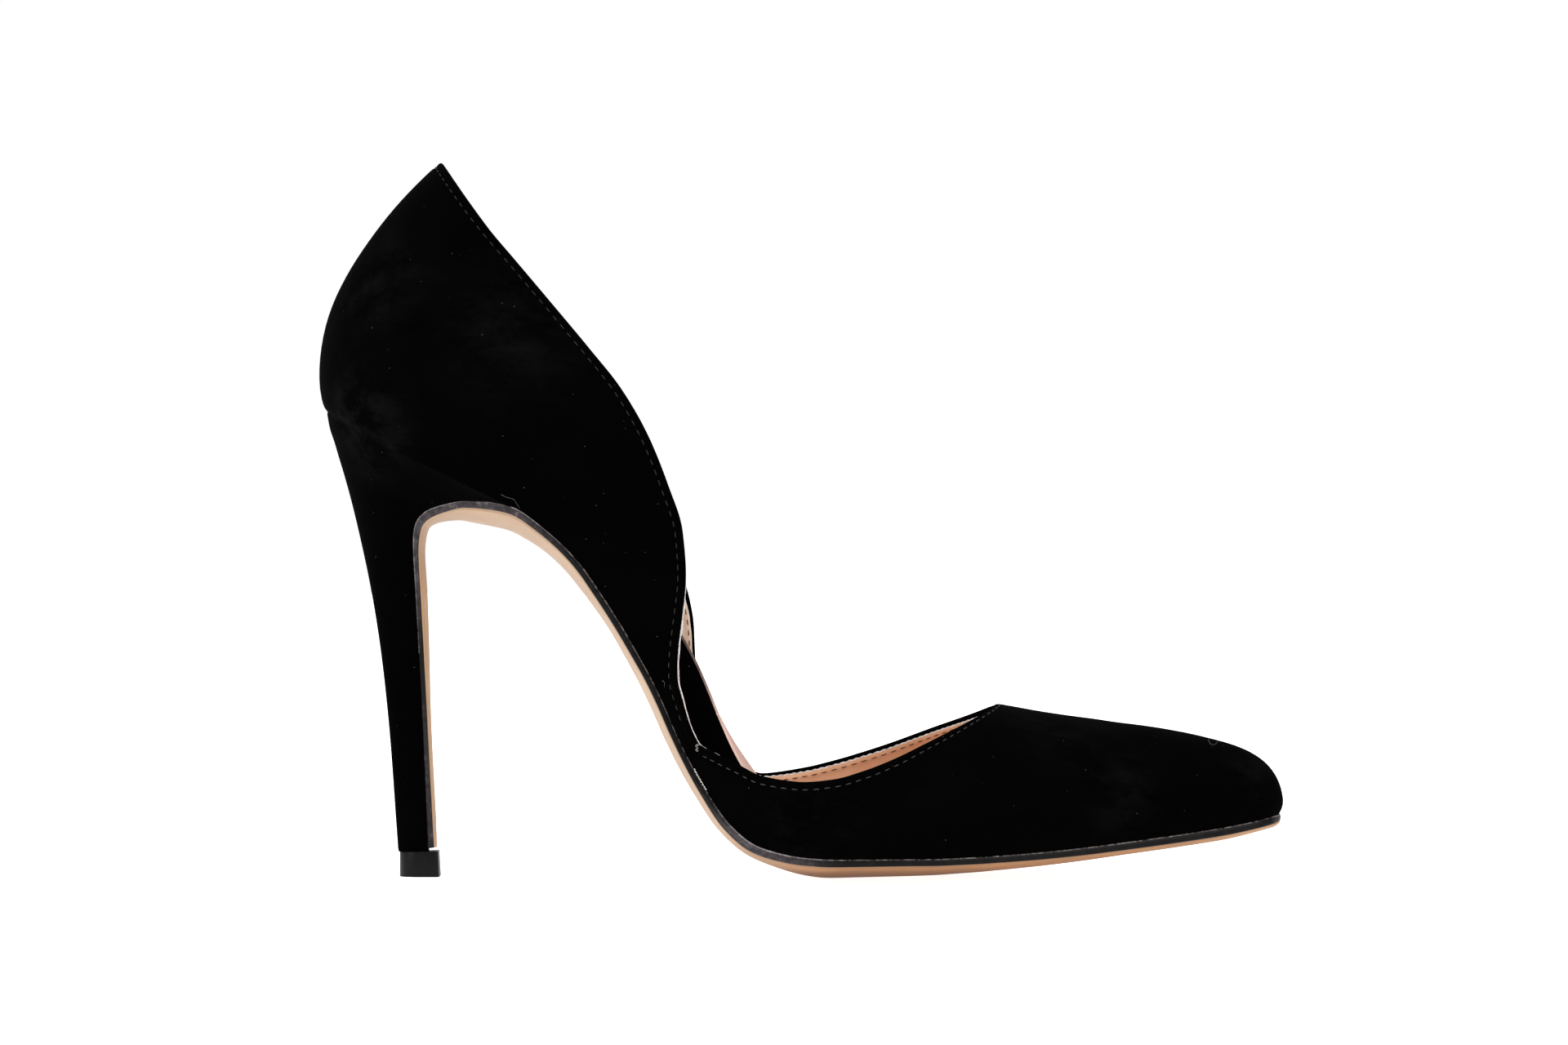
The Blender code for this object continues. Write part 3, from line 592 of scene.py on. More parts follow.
def raw_edge_finish():
    """Cut edge of the lining: undyed white fibres, a little frayed."""
    material, shader, place = new_finish("raw_sheepskin_edge", {"Roughness": 0.9, "Specular IOR Level": 0.2})
    fibres = add_node(material, "TexNoise", {"Scale": per_mm(0.6), "Detail": 3.0}, {"Vector": place})
    white = add_node(material, "ValToRGB", {}, {"Fac": fibres},
                     ((0.3, "b9aca6"), (0.6, "ece6e3"), (0.8, "f7f4f2")))
    frayed = add_node(material, "Bump", {"Strength": 0.5, "Distance": 0.1 * MM}, {"Height": fibres})
    plug(material, shader, Base_Color=white, Normal=frayed)
    return material


def lining_trim(at, side, turn):
    """How far the lining stops below the suede's edge at a place, with its pinked teeth; turn is in teeth."""
    drop = np.interp(at, LINING_AT, LINING_DROP_OUTER if side < 0 else LINING_DROP_INNER)
    if at > PINKED_FROM:
        teeth = abs((turn % 1.0) * 2 - 1)
    else:
        teeth = 0.5 + KNIFE_WAVER * math.sin(KNIFE_TURN * turn)
    return drop + LINING / 2 + PINK_DEPTH * teeth


def finer(places, steps):
    """The open places divided further, for teeth along the edge."""
    divided = []
    for a, b in zip(places, places[1:]):
        parts = steps if b <= THROAT and a > JOIN else 1
        divided += [a + (b - a) * k / parts for k in range(parts)]
    return divided + [places[-1]]


def lining_lines(places, side, order):
    """Lines of the lining on one side; order is -1 where they run backwards."""
    run = running([traced(at, side)[0][-2] for at in places])
    lines = []
    for at, length in list(zip(places, run))[::order]:
        trim = lining_trim(at, side, length / PINK_PITCH)
        lines.append(wall_line(at, side, -LINING_FOOT, trim, LINING_LEVELS))
    return lines


quarter_lining_places = upper_places(BACK, QUARTER_LINING_END)
vamp_lining_places = finer(upper_places(VAMP_LINING_START, TOE), PINK_STEPS)
quarter_lining = lining_lines(quarter_lining_places, 1, -1)
quarter_lining += lining_lines(quarter_lining_places, -1, 1)[1:]
vamp_lining = lining_lines(vamp_lining_places, -1, 1) + lining_lines(vamp_lining_places, 1, -1)[1:]
raw_edge = raw_edge_finish()
# The vamp lining's orange tan is partly painted bounce light from inside the toe.
for name, lines, colours in (
        ("quarter_lining", quarter_lining, ("cbae98", "dabfa9", "e4cdb9")),
        ("vamp_lining", vamp_lining, ("e3b088", "eec19b", "f4cfae"))):
    points, faces, from_edge = pulled(lines, SUEDE + LINING_ROOM)
    solid, shell, rim = thicken(points, faces, LINING)
    cut = from_edge < CUT_NEAR
    slots = [int(cut[face].any()) for face in faces] + [0] * len(faces)
    slots += [int(cut[a] and cut[b]) for a, b in rim for _ in range(EDGE_STEPS)]
    piece = add_piece(name, solid, shell, [lining_finish(name + "_sheepskin", *colours), raw_edge], slots)
    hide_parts("upper")

# Topline stitching: one row of grey polyester thread through suede and lining, duller on the quarter and
# brown where it comes out on the lining. It ends where vamp and quarter meet at the waist.
STITCH_PITCH = 2.35
STITCH_LONG = 1.5
THREAD = 0.13          # radius
STITCH_SINK = 0.308    # how far the ends of a stitch sink into suede
LINING_SINK = 0.22     # and into lining
STITCH_START = 0.6     # from the end of a row to its first stitch
STITCH_POINTS = 7
STITCH_RISE = 0.75     # height of its middle, as a share of the radius
STITCH_TAPER = 0.45    # how much thinner its ends are, as a share
STITCH_FLAT = 0.8      # how flat it is pulled, 1 is round
PATH_STEP = 0.04       # places between points of a row
PATH_NEAR = 0.3        # how far up and down the slope of the wall is taken

# Ends of the rows along the upper, and how far below the topline they come out on the lining.
QUARTER_ROW = (-0.99, JOIN - 0.9)
VAMP_ROW = (JOIN + 0.25, THROAT - 0.3)
LINING_ROWS = ((-0.99, JOIN - 0.6, 1.5), (JOIN + 2.5, THROAT - 1.2, 1.6))


def thread_finish(name, dark, light):
    """Twisted polyester thread: slight sheen, the twist seen as fine light and dark."""
    material, shader, place = new_finish(name, {"Roughness": 0.55, "Specular IOR Level": 0.35})
    twist = add_node(material, "TexNoise", {"Scale": per_mm(0.45), "Detail": 2.0}, {"Vector": place})
    shade = add_node(material, "ValToRGB", {}, {"Fac": twist}, ((0.3, dark), (0.7, light)))
    strands = add_node(material, "Bump", {"Strength": 0.4, "Distance": 0.05 * MM}, {"Height": twist})
    plug(material, shader, Base_Color=shade, Normal=strands)
    return material


def edge_path(first, last, side, below, inset):
    """Points and outward normals along a line a distance below the topline; inset is into the wall."""
    points = []
    rises = []
    for at in np.arange(first, last, PATH_STEP):
        line, run = traced(at, side)
        level = run[-2] - below * slanted(at, side, line)
        low, here, high = read_line(line, run, level + np.array((-PATH_NEAR, 0.0, PATH_NEAR)))
        points.append(here)
        rises.append(high - low)
    points = np.array(points)
    normal = unit(-side * np.cross(np.gradient(points, axis=0), np.array(rises)))
    height = relief(points, np.full(len(points), below)) - inset
    return points + normal * height[:, None], normal


def tube(path, normal, widths, flat=1.0, sides=6):
    """A closed tube along a path; widths are its radii, flat squeezes it along the normals."""
    tangent = unit(np.gradient(path, axis=0))
    across = unit(np.cross(tangent, normal))
    rise = np.cross(across, tangent)
    turn = np.linspace(0, 2 * math.pi, sides, endpoint=False)
    points = []
    for k, width in enumerate(widths):
        for angle in turn:
            points.append(path[k] + width * (math.cos(angle) * across[k] + flat * math.sin(angle) * rise[k]))
    faces = []
    for k in range(len(widths) - 1):
        for n in range(sides):
            m = (n + 1) % sides
            faces.append([k * sides + n, k * sides + m, (k + 1) * sides + m, (k + 1) * sides + n])
    last = (len(widths) - 1) * sides
    faces.append(list(range(sides))[::-1])
    faces.append([last + n for n in range(sides)])
    return np.array(points), faces


def joined(parts):
    """Several meshes as one list of points and faces."""
    points = []
    faces = []
    for part_points, part_faces in parts:
        start = sum(len(p) for p in points)
        points.append(part_points)
        faces += [[corner + start for corner in face] for face in part_faces]
    return np.vstack(points), faces


def stitches(path, normal, sink):
    """Short stitches along a path, each sunk at its ends."""
    run = running(path)
    share = np.linspace(0, 1, STITCH_POINTS)
    rise = THREAD * STITCH_RISE - sink * (2 * share - 1) ** 4
    widths = THREAD * (1 - STITCH_TAPER + STITCH_TAPER * np.sin(math.pi * share))
    parts = []
    for start in np.arange(STITCH_START, run[-1] - STITCH_LONG, STITCH_PITCH):
        at = start + share * STITCH_LONG
        out = read_line(normal, run, at)
        parts.append(tube(read_line(path, run, at) + out * rise[:, None], out, widths, STITCH_FLAT))
    return parts


vamp_rows = []
quarter_rows = []
lining_rows = []
for side in (-1, 1):
    quarter_rows += stitches(*edge_path(*QUARTER_ROW, side, STITCH_IN, 0.0), STITCH_SINK)
    vamp_rows += stitches(*edge_path(*VAMP_ROW, side, STITCH_IN, 0.0), STITCH_SINK)
    for first, last, below in LINING_ROWS:
        path, normal = edge_path(first, last, side, below, SUEDE + LINING_ROOM + LINING)
        lining_rows += stitches(path, -normal, LINING_SINK)

grey_thread = thread_finish("grey_polyester_thread", "191818", "333130")
worn_thread = thread_finish("dark_polyester_thread", "080808", "131212")
brown_thread = thread_finish("brown_polyester_thread", "4a3022", "6e4a36")
for name, rows, finish in (
        ("vamp_stitching", vamp_rows, grey_thread), ("quarter_stitching", quarter_rows, worn_thread),
        ("lining_stitching", lining_rows, brown_thread)):
    add_piece(name, *joined(rows), [finish])

# Thread ends and lint: the knot where vamp and quarter meet at the outer waist, a frayed length of thread in
# the feather line below it, and a few loose hairs caught on the nap.
KNOT = (-22.9, 28.3)   # x and z of the suede behind it
KNOT_OFF = (0.75, -0.6, 0.6)  # from there to its middle
KNOT_WIDE = 0.35
KNOT_DEEP = 0.15
KNOT_HIGH = 0.6
KNOT_THREAD = 0.26     # radius
KNOT_POINTS = 41
FRAYED_AT = np.linspace(JOIN - 0.08, JOIN + 0.78, 24)  # places of the frayed thread along the upper
FRAYED_UP = 0.05       # above the feather line
FRAYED_OUT = 0.12      # and clear of the suede
FRAYED_WAVE = 0.09
FRAYED_THREAD = 0.11   # radius, and how much it varies
FRAYED_FUZZ = 0.06
WAVE_TURN = 1.7        # turn of its wave in radians from point to point
FUZZ_TURN = 2.3        # and of its fuzz
BESIDE = -200.0        # y well clear of the outer side
HAIR = 0.04            # radius at its thick end
HAIR_OFF = 0.8         # height of its middle over the nap, as a share of that
HAIR_STEPS = 5
HAIR_SIDES = 5
HAIRS = [
    [(-64.6, 83.3), (-63.4, 82.7), (-62.0, 82.3), (-61.3, 81.4), (-60.6, 80.4)],
    [(88.8, 29.9), (89.0, 29.2), (89.5, 28.8), (90.2, 28.9), (90.8, 29.4), (91.4, 29.5)],
    [(-29.9, 43.3), (-29.4, 42.7), (-29.5, 41.9)],
    [(-36.0, 122.0), (-35.4, 121.6), (-34.9, 121.9)],
]


def rests_on(places):
    """Points of the outer suede seen from the side at these x and z, with the directions out of it."""
    spots = []
    for x, z in places:
        hits = [tree.ray_cast(Vector((x, BESIDE, z)), Vector((0.0, 1.0, 0.0))) for tree in suede_faces]
        hits = [hit for hit in hits if hit[0] is not None]
        if hits:
            spots.append(min(hits, key=lambda hit: hit[0].y)[:2])
    return np.array([spot for spot, _ in spots]), np.array([out for _, out in spots])


def curve_through(points, steps):
    """A smooth line through points."""
    return np.stack(rows_at(points, steps_along(points, steps)), axis=1)


loose = []
for hair in HAIRS:
    path, out = rests_on(curve_through(hair, HAIR_STEPS))
    if len(path) > 3:
        widths = np.linspace(HAIR, HAIR / 2, len(path))
        loose.append(tube(path + out * HAIR * HAIR_OFF, out, widths, sides=HAIR_SIDES))
turn = np.linspace(0, 2 * math.pi, KNOT_POINTS)
middle, out = rests_on([KNOT])
wound = np.stack((KNOT_WIDE * np.sin(2 * turn), -KNOT_DEEP * np.cos(3 * turn),
                  KNOT_HIGH * np.sin(turn)), axis=1)
loose.append(tube(middle + KNOT_OFF + wound, np.repeat(out, len(turn), axis=0),
                  np.full(len(turn), KNOT_THREAD)))
hairs = add_piece("knot_and_hairs", *joined(loose), [thread_finish("grey_loose_thread", "4a4745", "75716e")])

frayed = []
for at in FRAYED_AT:
    line, run = traced(at, -1)
    frayed.append(read_line(line, run, [FRAYED_UP - feather(line[1][0])])[0])
count = np.arange(len(frayed))
frayed = np.array(frayed) + (0.0, -FRAYED_OUT, 0.0)
frayed[:, 0] += FRAYED_WAVE * np.sin(WAVE_TURN * count)
widths = FRAYED_THREAD + FRAYED_FUZZ * np.sin(FUZZ_TURN * count)
seam_thread = add_piece("seam_thread", *tube(frayed, np.tile((0.0, -1.0, 0.0), (len(frayed), 1)), widths),
                        [thread_finish("frayed_white_thread", "a8a39f", "d8d4d0")])

# Insole: a stiff board under the foot, wrapped in black suede, thickest under the arch where its edge shows
# in the open waist. It lies inside the lasted upper on the sole.
INSOLE_INSET = 2.2
INSOLE_SOFT = 0.8      # rounding of its upper edge
INSOLE_X = (-103.2, -80.0, -58.0, -46.0, -40.0, -34.0, -29.0, -25.0, -21.0, -14.0, -4.0, 8.0, 40.0, 103.6)
INSOLE_THICK = (4.15, 4.35, 5.5, 8.5, 9.5, 9.9, 9.8, 9.35, 9.0, 8.9, 6.95, 5.15, 4.35, 3.75)

# How much higher the inner edge of the footbed stands than the outer, by x of the sole below it.
TILT_X = (-68.0, -53.0, -43.0, -32.0, -26.0, -20.5, -15.0, -8.0, 4.0, 14.0)
TILT = (0.0, -1.0, -1.6, -1.3, -0.6, 0.5, 0.6, 0.4, 0.1, 0.0)
EASED = np.linspace(-3.0, 3.0, 9)  # x to either side over which these are averaged
END_FLAT = 0.2         # blunt ends of a slab at heel and toe
SLAB_STATIONS = 240
SLAB_CROWD = 0.85      # how far they crowd towards heel and toe
SLAB_ACROSS = 16
CORNER_STEPS = 6       # points round a corner
SEAT_POINTS = 40       # points of the sole edge round the seat
SOLE_STEPS = 12        # and from section to section
SLOPE_STEP = 1.0       # how far to either side the slope of the sole is taken


def sole_line():
    """The sole edge from the back of the seat to the toe: length along it, x, z, outer y and inner y."""
    turn = np.linspace(0, math.pi / 2, SEAT_POINTS, endpoint=False)
    seat = OPEN[0]
    x = seat.foot_x + (BACK_FOOT[0] - seat.foot_x) * np.cos(turn)
    z = seat.foot_z + (BACK_FOOT[1] - seat.foot_z) * np.cos(turn)
    outer = HEEL_AXIS + (-seat.outer - HEEL_AXIS) * np.sin(turn)
    inner = HEEL_AXIS + (seat.inner - HEEL_AXIS) * np.sin(turn)
    parts = [(x, z, outer, inner)]
    for table, start in ((OPEN, 0), (CLOSED, 1)):
        row = Section(*rows_at(table, steps_along(table, SOLE_STEPS)[start:]))
        parts.append((row.foot_x, row.foot_z, -row.outer, row.inner))
    x, z, outer, inner = (np.concatenate(column) for column in zip(*parts))
    return running(np.column_stack((x, z))), x, z, outer, inner


def inset_edge(run, y, inset):
    """One side of the sole edge moved in by a distance, measured in the plane of the sole."""
    tangent = np.stack((np.gradient(run), np.gradient(y)))
    tangent /= np.hypot(*tangent)
    into = np.sign(-y[len(y) // 2])
    return run - tangent[1] * inset * into, y + tangent[0] * inset * into


def outline(inset, places):
    """Place, upward direction and both y of a piece inset from the sole edge, from heel (0) to toe (1)."""
    run, x, z, outer, inner = sole_line()
    first = run[0] + inset + END_FLAT
    last = run[-1] - inset - END_FLAT
    at = first + (last - first) * np.asarray(places)
    sides = []
    for y in (outer, inner):
        edge_run, edge_y = inset_edge(run, y, inset)
        order = np.argsort(edge_run)
        sides.append(np.interp(at, edge_run[order], edge_y[order]))
    slope_x = np.interp(at + SLOPE_STEP, run, x) - np.interp(at - SLOPE_STEP, run, x)
    slope_z = np.interp(at + SLOPE_STEP, run, z) - np.interp(at - SLOPE_STEP, run, z)
    slope = np.hypot(slope_x, slope_z)
    up = np.stack((-slope_z / slope, slope_x / slope), axis=1)
    return np.stack((np.interp(at, run, x), np.interp(at, run, z)), axis=1), up, sides[0], sides[1]


def spread_places(count, ends):
    """Places from 0 to 1 that crowd towards both ends; a higher ends value crowds them more."""
    even = np.linspace(0, 1, count)
    return (1 - ends) * even + ends * (1 - np.cos(math.pi * even)) / 2


def loft(rings):
    """Points and faces of a closed solid through rings of equal length."""
    count = len(rings[0])
    faces = []
    for r in range(len(rings) - 1):
        for k in range(count):
            n = (k + 1) % count
            faces.append([r * count + k, r * count + n, (r + 1) * count + n, (r + 1) * count + k])
    last = (len(rings) - 1) * count
    faces.append(list(range(count))[::-1])
    faces.append([last + k for k in range(count)])
    return np.vstack(rings), faces


def corner(soft, steps):
    """Steps round a corner of this radius, as distances in from its two faces."""
    turns = np.linspace(0, math.pi / 2, steps)
    return [(soft * (1 - math.cos(turn)), soft * (1 - math.sin(turn))) for turn in turns]


def slab_rings(inset, low, high, soft):
    """Rings of a sheet along the sole between two heights, tilted as the footbed, soft at its upper edges."""
    rings = []
    places = spread_places(SLAB_STATIONS, SLAB_CROWD)
    for point, up, y_out, y_in in zip(*outline(inset, places)):
        base = low(point[0])
        top = high(point[0])
        middle = (y_in + y_out) / 2
        width = (y_in - y_out) / 2
        tilt = np.interp(point[0] + EASED, TILT_X, TILT).mean()
        edge = min(soft, width / 2)
        rounded = corner(edge, CORNER_STEPS)
        profile = [(-width, base), (width, base + tilt * (base > 0))]
        profile += [(width - dy, top + tilt - dz) for dy, dz in rounded]
        for share in np.linspace(1, -1, SLAB_ACROSS)[1:-1]:
            profile.append((share * (width - edge), top + tilt * (1 + share) / 2))
        profile += [(dy - width, top - dz) for dy, dz in rounded[::-1]]
        rings.append([(point[0] + up[0] * h, middle + y, point[1] + up[1] * h) for y, h in profile])
    return rings


def on_sole(x):
    return 0.0


def insole_top(x):
    return np.interp(x + EASED, INSOLE_X, INSOLE_THICK).mean()


insole = add_piece("insole_board", *loft(slab_rings(INSOLE_INSET, on_sole, insole_top, INSOLE_SOFT)),
                   [suede_finish("black_wrapping_suede", 0.5)])
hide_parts("insole")

# Outsole: tan leather with its edge pared and painted glossy black. It follows the arch, rolls over the
# front of the heel and runs down it as a flap. Its underside is rounded and left bare.
EDGE_INSET = -0.05     # the painted edge stands just clear of the suede
FLAP_INSET = 0.2       # the flap's edge lies inside the heel's
INSET_X = (-74.0, -62.1)  # x over which one goes over into the other
SOLE_ROOM = 0.04       # glue line
FOLD_LAP = 0.3         # how far the fold is pressed up into the heel cover
LAP_X = (-78.0, -73.0)  # x over which it comes clear of it
ARCH_STOP = 0.6        # where the arch ends, in front of the heel
JOINT_SOFT = 3.0       # how far arch and fold are eased into each other
FOLD_SOFT = 2.3        # and how far the fold itself is
FOLD_Z = 78.5          # middle of that easing on the heel
FOLD_REACH = 9.0       # and its reach along the sole
FOLD_ROWS = 20         # heel rows above it
FLAT_SHARE = 0.03      # middle of the sole width that is flat across
SOLE_ROUND = 1.7       # how the underside rounds off, 2 is a parabola
EDGE_SOFT = 0.28       # rounding of the painted edge
EDGE_SWELL = 0.05      # swell of the painted edge at half its height
PAINT_LAP = 0.12       # paint carried on to the underside
PAINT_WAVER = 0.8      # how much that varies, as a share, and its pace from ring to ring
PAINT_PACE = 0.21
NARROW = 4.0           # half-width below which edge and paint shrink with it
FLAP_END = 6.25
FLAP_LEAN = 0.05       # how far forward its cut end lies
NOSE = 2.2             # how far back the toe end is rounded off below
NOSE_THIN = 0.4        # share of the thickness that is left at its tip
SOLE_STATIONS = 260
SOLE_CROWD = 0.6       # how far they crowd towards heel and toe
EDGE_POINTS = 4        # points round a corner of the painted edge
UNDER_POINTS = 13      # points from the paint to the middle of the underside

# Thickness of the outsole at its edge and what its rounded underside adds in the middle, by x.
Bottom = namedtuple("Bottom", "x edge crown")
OUTSOLE = [
    Bottom(-62.1, 1.55, 3.95),
    Bottom(-53.0, 1.4, 2.7),
    Bottom(-46.5, 1.4, 2.4),
    Bottom(-39.3, 1.45, 1.75),
    Bottom(-32.2, 1.4, 2.0),
    Bottom(-25.1, 1.4, 2.0),
    Bottom(-18.0, 1.55, 1.8),
    Bottom(-10.9, 1.75, 2.0),
    Bottom(-3.7, 1.7, 2.85),
    Bottom(3.5, 1.65, 3.95),
    Bottom(23.0, 1.5, 3.75),
    Bottom(35.4, 1.5, 3.25),
    Bottom(49.7, 1.55, 2.7),
    Bottom(71.0, 1.65, 1.9),
    Bottom(92.4, 1.7, 1.5),
    Bottom(103.6, 1.55, 0.95),
]

# Heel and the flap on its front. front: where the sole meets the heel. outer, inner: y of the front edge on
# either side. back: the heel's back line. swell: extra width half-way. edge, crown: the flap's thickness.
Tread = namedtuple("Tread", "front_x front_z outer inner back_x back_z swell edge crown")
HEEL = [
    Tread(-62.1, 80.5, 19.9, 21.6, -103.45, 101.0, 5.2, 1.6, 3.85),
    Tread(-67.4, 81.65, 17.3, 20.6, -102.85, 97.8, 4.6, 1.75, 3.7),
    Tread(-72.8, 81.85, 14.9, 18.7, -101.9, 94.9, 3.8, 1.5, 3.2),
    Tread(-77.4, 81.15, 12.7, 16.6, -100.95, 91.7, 3.0, 1.55, 1.9),
    Tread(-81.3, 80.0, 10.4, 14.4, -99.8, 87.9, 2.2, 2.0, 1.4),
    Tread(-84.1, 76.7, 8.5, 12.5, -98.1, 81.7, 1.4, 1.7, 1.15),
    Tread(-84.4, 72.0, 6.8, 10.8, -96.1, 73.3, 0.8, 1.15, 1.05),
    Tread(-83.9, 61.1, 4.8, 8.8, -93.95, 63.0, 0.4, 1.05, 1.3),
    Tread(-83.3, 48.8, 3.6, 7.6, -91.7, 48.8, 0.2, 1.05, 1.1),
    Tread(-82.4, 31.0, 2.7, 6.7, -89.8, 31.0, 0.1, 1.05, 0.7),
    Tread(-81.65, 13.2, 2.2, 6.2, -88.5, 13.2, 0.1, 1.2, 0.75),
    Tread(-81.3, 5.42, 2.1, 6.1, -87.95, 5.42, 0.1, 1.3, 0.5),
]
HEEL_STEPS = 9

# Where the edge paint turns grey: chafing at the fold, the toe and the foot of the flap, and at the ball a
# painted gloss highlight. Middle, reach and strength; the grey is even over the core.
WEAR_AND_HIGHLIGHT_CORE = 1 / 3
WEAR_AND_HIGHLIGHT_SPOTS = [
    (-77.0, -12.0, 78.0, 32.0, 1.0),       # fold of the flap
    (104.0, 3.0, 12.5, 5.0, 1.0),          # toe
    (-8.0, -32.0, 8.0, 17.0, 1.0),         # ball: a painted gloss highlight
    (-81.0, -3.0, 10.0, 40.0, 0.5),        # foot of the flap
]


def heel_rows():
    return [Tread(*row) for row in zip(*rows_at(HEEL, steps_along(HEEL, HEEL_STEPS)))]


def eased(run, values, soft):
    """Values along a line, each averaged with its neighbours within a distance."""
    near = np.exp(-((run[:, None] - run) / soft) ** 2) * np.gradient(run)
    return np.tensordot(near / near.sum(axis=1)[:, None], values, 1)


def outsole_rings():
    """Rings of the outsole from the toe to the end of the flap, and how many ring places carry paint."""
    path = []
    bottom = Bottom(*zip(*OUTSOLE))
    stations = list(zip(*outline(EDGE_INSET, spread_places(SOLE_STATIONS, SOLE_CROWD))))
    for point, _, y_out, y_in in reversed(stations):
        if point[0] > HEEL[0].front_x + ARCH_STOP:
            edge = np.interp(point[0], bottom.x, bottom.edge)
            crown = np.interp(point[0], bottom.x, bottom.crown)
            path.append((*point, y_out, y_in, edge, crown, feather(point[0]) + SOLE_ROOM))
    joint = len(path)
    for row in heel_rows():
        if row.front_z > FLAP_END:
            inset = np.interp(row.front_x, INSET_X, (FLAP_INSET, EDGE_INSET))
            room = np.interp(row.front_x, LAP_X, (SOLE_ROOM, -FOLD_LAP))
            sides = (inset - row.outer, row.inner - inset)
            path.append((row.front_x, row.front_z, *sides, row.edge, row.crown, room))
    last = path[-1]
    path.append((last[0] + FLAP_LEAN, FLAP_END, *last[2:]))
    path = np.array(path)
    run = running(path[:, :2])
    softer = eased(run, path, JOINT_SOFT)
    at_joint = np.exp(-((run - run[joint]) / (3 * JOINT_SOFT)) ** 4)[:, None]
    path[:, :4] += (softer[:, :4] - path[:, :4]) * at_joint
    path[1:-1, 4:] = softer[1:-1, 4:]
    nose = np.clip(run / NOSE, 0, 1)
    path[:, 4:6] *= (NOSE_THIN + (1 - NOSE_THIN) * np.sqrt(1 - (1 - nose) ** 2))[:, None]
    tangents = unit(np.gradient(path[:, :2], axis=0))
    rings = []
    for k, ((px, pz, y_out, y_in, edge, crown, room), (tx, tz)) in enumerate(zip(path, tangents)):
        down = np.array((-tz, tx))
        top = np.array((px, pz)) + down * room
        middle = (y_in + y_out) / 2
        width = (y_in - y_out) / 2
        small = min(1, width / NARROW)
        soft = EDGE_SOFT * small
        rounded = corner(soft, EDGE_POINTS)
        half_ring = [(width - dy, dz) for dy, dz in rounded[::-1]]
        half_ring.append((width + EDGE_SWELL * small, edge / 2))
        half_ring += [(width - dy, edge - dz) for dy, dz in rounded]
        waver = PAINT_WAVER * noise.noise(Vector((k * PAINT_PACE, 3.0, 0.0)))
        reach = width - soft - PAINT_LAP * (1 + waver) * small
        under = [(reach * share, edge) for share in np.linspace(1, 0, UNDER_POINTS)]
        ring = []
        for y, depth in half_ring + under:
            fall = np.clip((y / width - FLAT_SHARE) / (1 - FLAT_SHARE), 0, 1)
            sag = crown * (1 - fall ** SOLE_ROUND)
            ring.append((y, depth + sag * (depth > edge - soft)))
        whole = [(-y, depth) for y, depth in ring] + ring[-2::-1]
        rings.append([(top[0] + down[0] * d, middle + y, max(top[1] + down[1] * d, 0.0)) for y, d in whole])
    rings = np.array(rings)
    fold = np.interp(FOLD_Z, path[joint + FOLD_ROWS:, 1][::-1], run[joint + FOLD_ROWS:][::-1])
    at_fold = np.exp(-((run - fold) / FOLD_REACH) ** 4)[:, None, None]
    rings += (eased(run, rings, FOLD_SOFT) - rings) * at_fold
    return rings, len(half_ring)


# Tans of the sole, each from dark to light.
ARCH_TAN = ("ac8d72", "ba9c80", "c5aa92")
BALL_TAN = ("a0703c", "b27f4b", "be8c58")
FLAP_TAN = ("a98766", "b79573", "c3a385")
CREASED_TAN = ("9c7a58", "a98763", "b4926e")
PARED_TAN = ("ad8a63", "ba9870", "c6a57f")
# Darker tans for the strip of the underside next to the paint.
DARK_MARGIN_ARCH = ("977653", "a5845f", "b08f6b")
DARK_MARGIN_BALL = ("8a5f36", "9a6d42", "a6784d")
BOTTOM_TAN = ("784813", "88551c", "936126")
BALL_X = (-26.0, 12.0)  # x over which the arch's tan goes over into the ball's
FLAP_X = (-72.0, -82.0)  # and into the flap's
BOTTOM_Z = (3.2, 0.9)    # height over which the ball's tan turns darker brown towards the bottom

# Finish of the underside from the paint inwards, by its number in the list below; further in it is plain.
MARGIN_SLOTS = (5, 4, 3)
RIM_PLACES = (1, 2)    # ring places of the rim where a highlight is painted
RIM_X = -75.0          # the flap has no painted highlight rim behind this and below RIM_Z
RIM_Z = 50.0


def sole_leather_finish(name, arch_tan, ball_tan, flap_tan):
    """Vegetable-tanned sole leather, rolled smooth: tan, browner under the ball and darker towards its bottom
    edge, with a low polish.
    """
    material, shader, place = new_finish(name, {
        "Roughness": 0.5, "IOR": 1.45, "Specular IOR Level": 0.3, "Coat Weight": 0.04})
    cloud = add_node(material, "TexNoise", {"Scale": per_mm(16.0), "Detail": 6.0, "Roughness": 0.6},
                     {"Vector": place})
    along = add_node(material, "SeparateXYZ", {}, {"Vector": place})
    colour, ball, flap, tone_shift = (
        add_node(material, "ValToRGB", {}, {"Fac": cloud}, tuple(zip((0.3, 0.55, 0.75), shades)))
        for shades in (arch_tan, ball_tan, flap_tan, BOTTOM_TAN))
    for tan, axis, (first, last) in ((ball, "X", BALL_X), (flap, "X", FLAP_X), (tone_shift, "Z", BOTTOM_Z)):
        part = add_node(material, "MapRange", {
            "interpolation_type": "SMOOTHSTEP", "From Min": first * MM, "From Max": last * MM},
            {"Value": along.outputs[axis]})
        blend = add_node(material, "Mix", {"data_type": "RGBA"}, {0: part, 6: colour, 7: tan})
        colour = blend.outputs[2]
    fibre = add_node(material, "TexNoise", {"Scale": per_mm(0.9), "Detail": 5.0, "Roughness": 0.7},
                     {"Vector": place})
    rolled = add_node(material, "Bump", {"Strength": 0.25, "Distance": 0.08 * MM}, {"Height": fibre})
    gloss = add_node(material, "MapRange", {"To Min": 0.42, "To Max": 0.62}, {"Value": cloud})
    plug(material, shader, Base_Color=colour, Roughness=gloss, Normal=rolled)
    return material


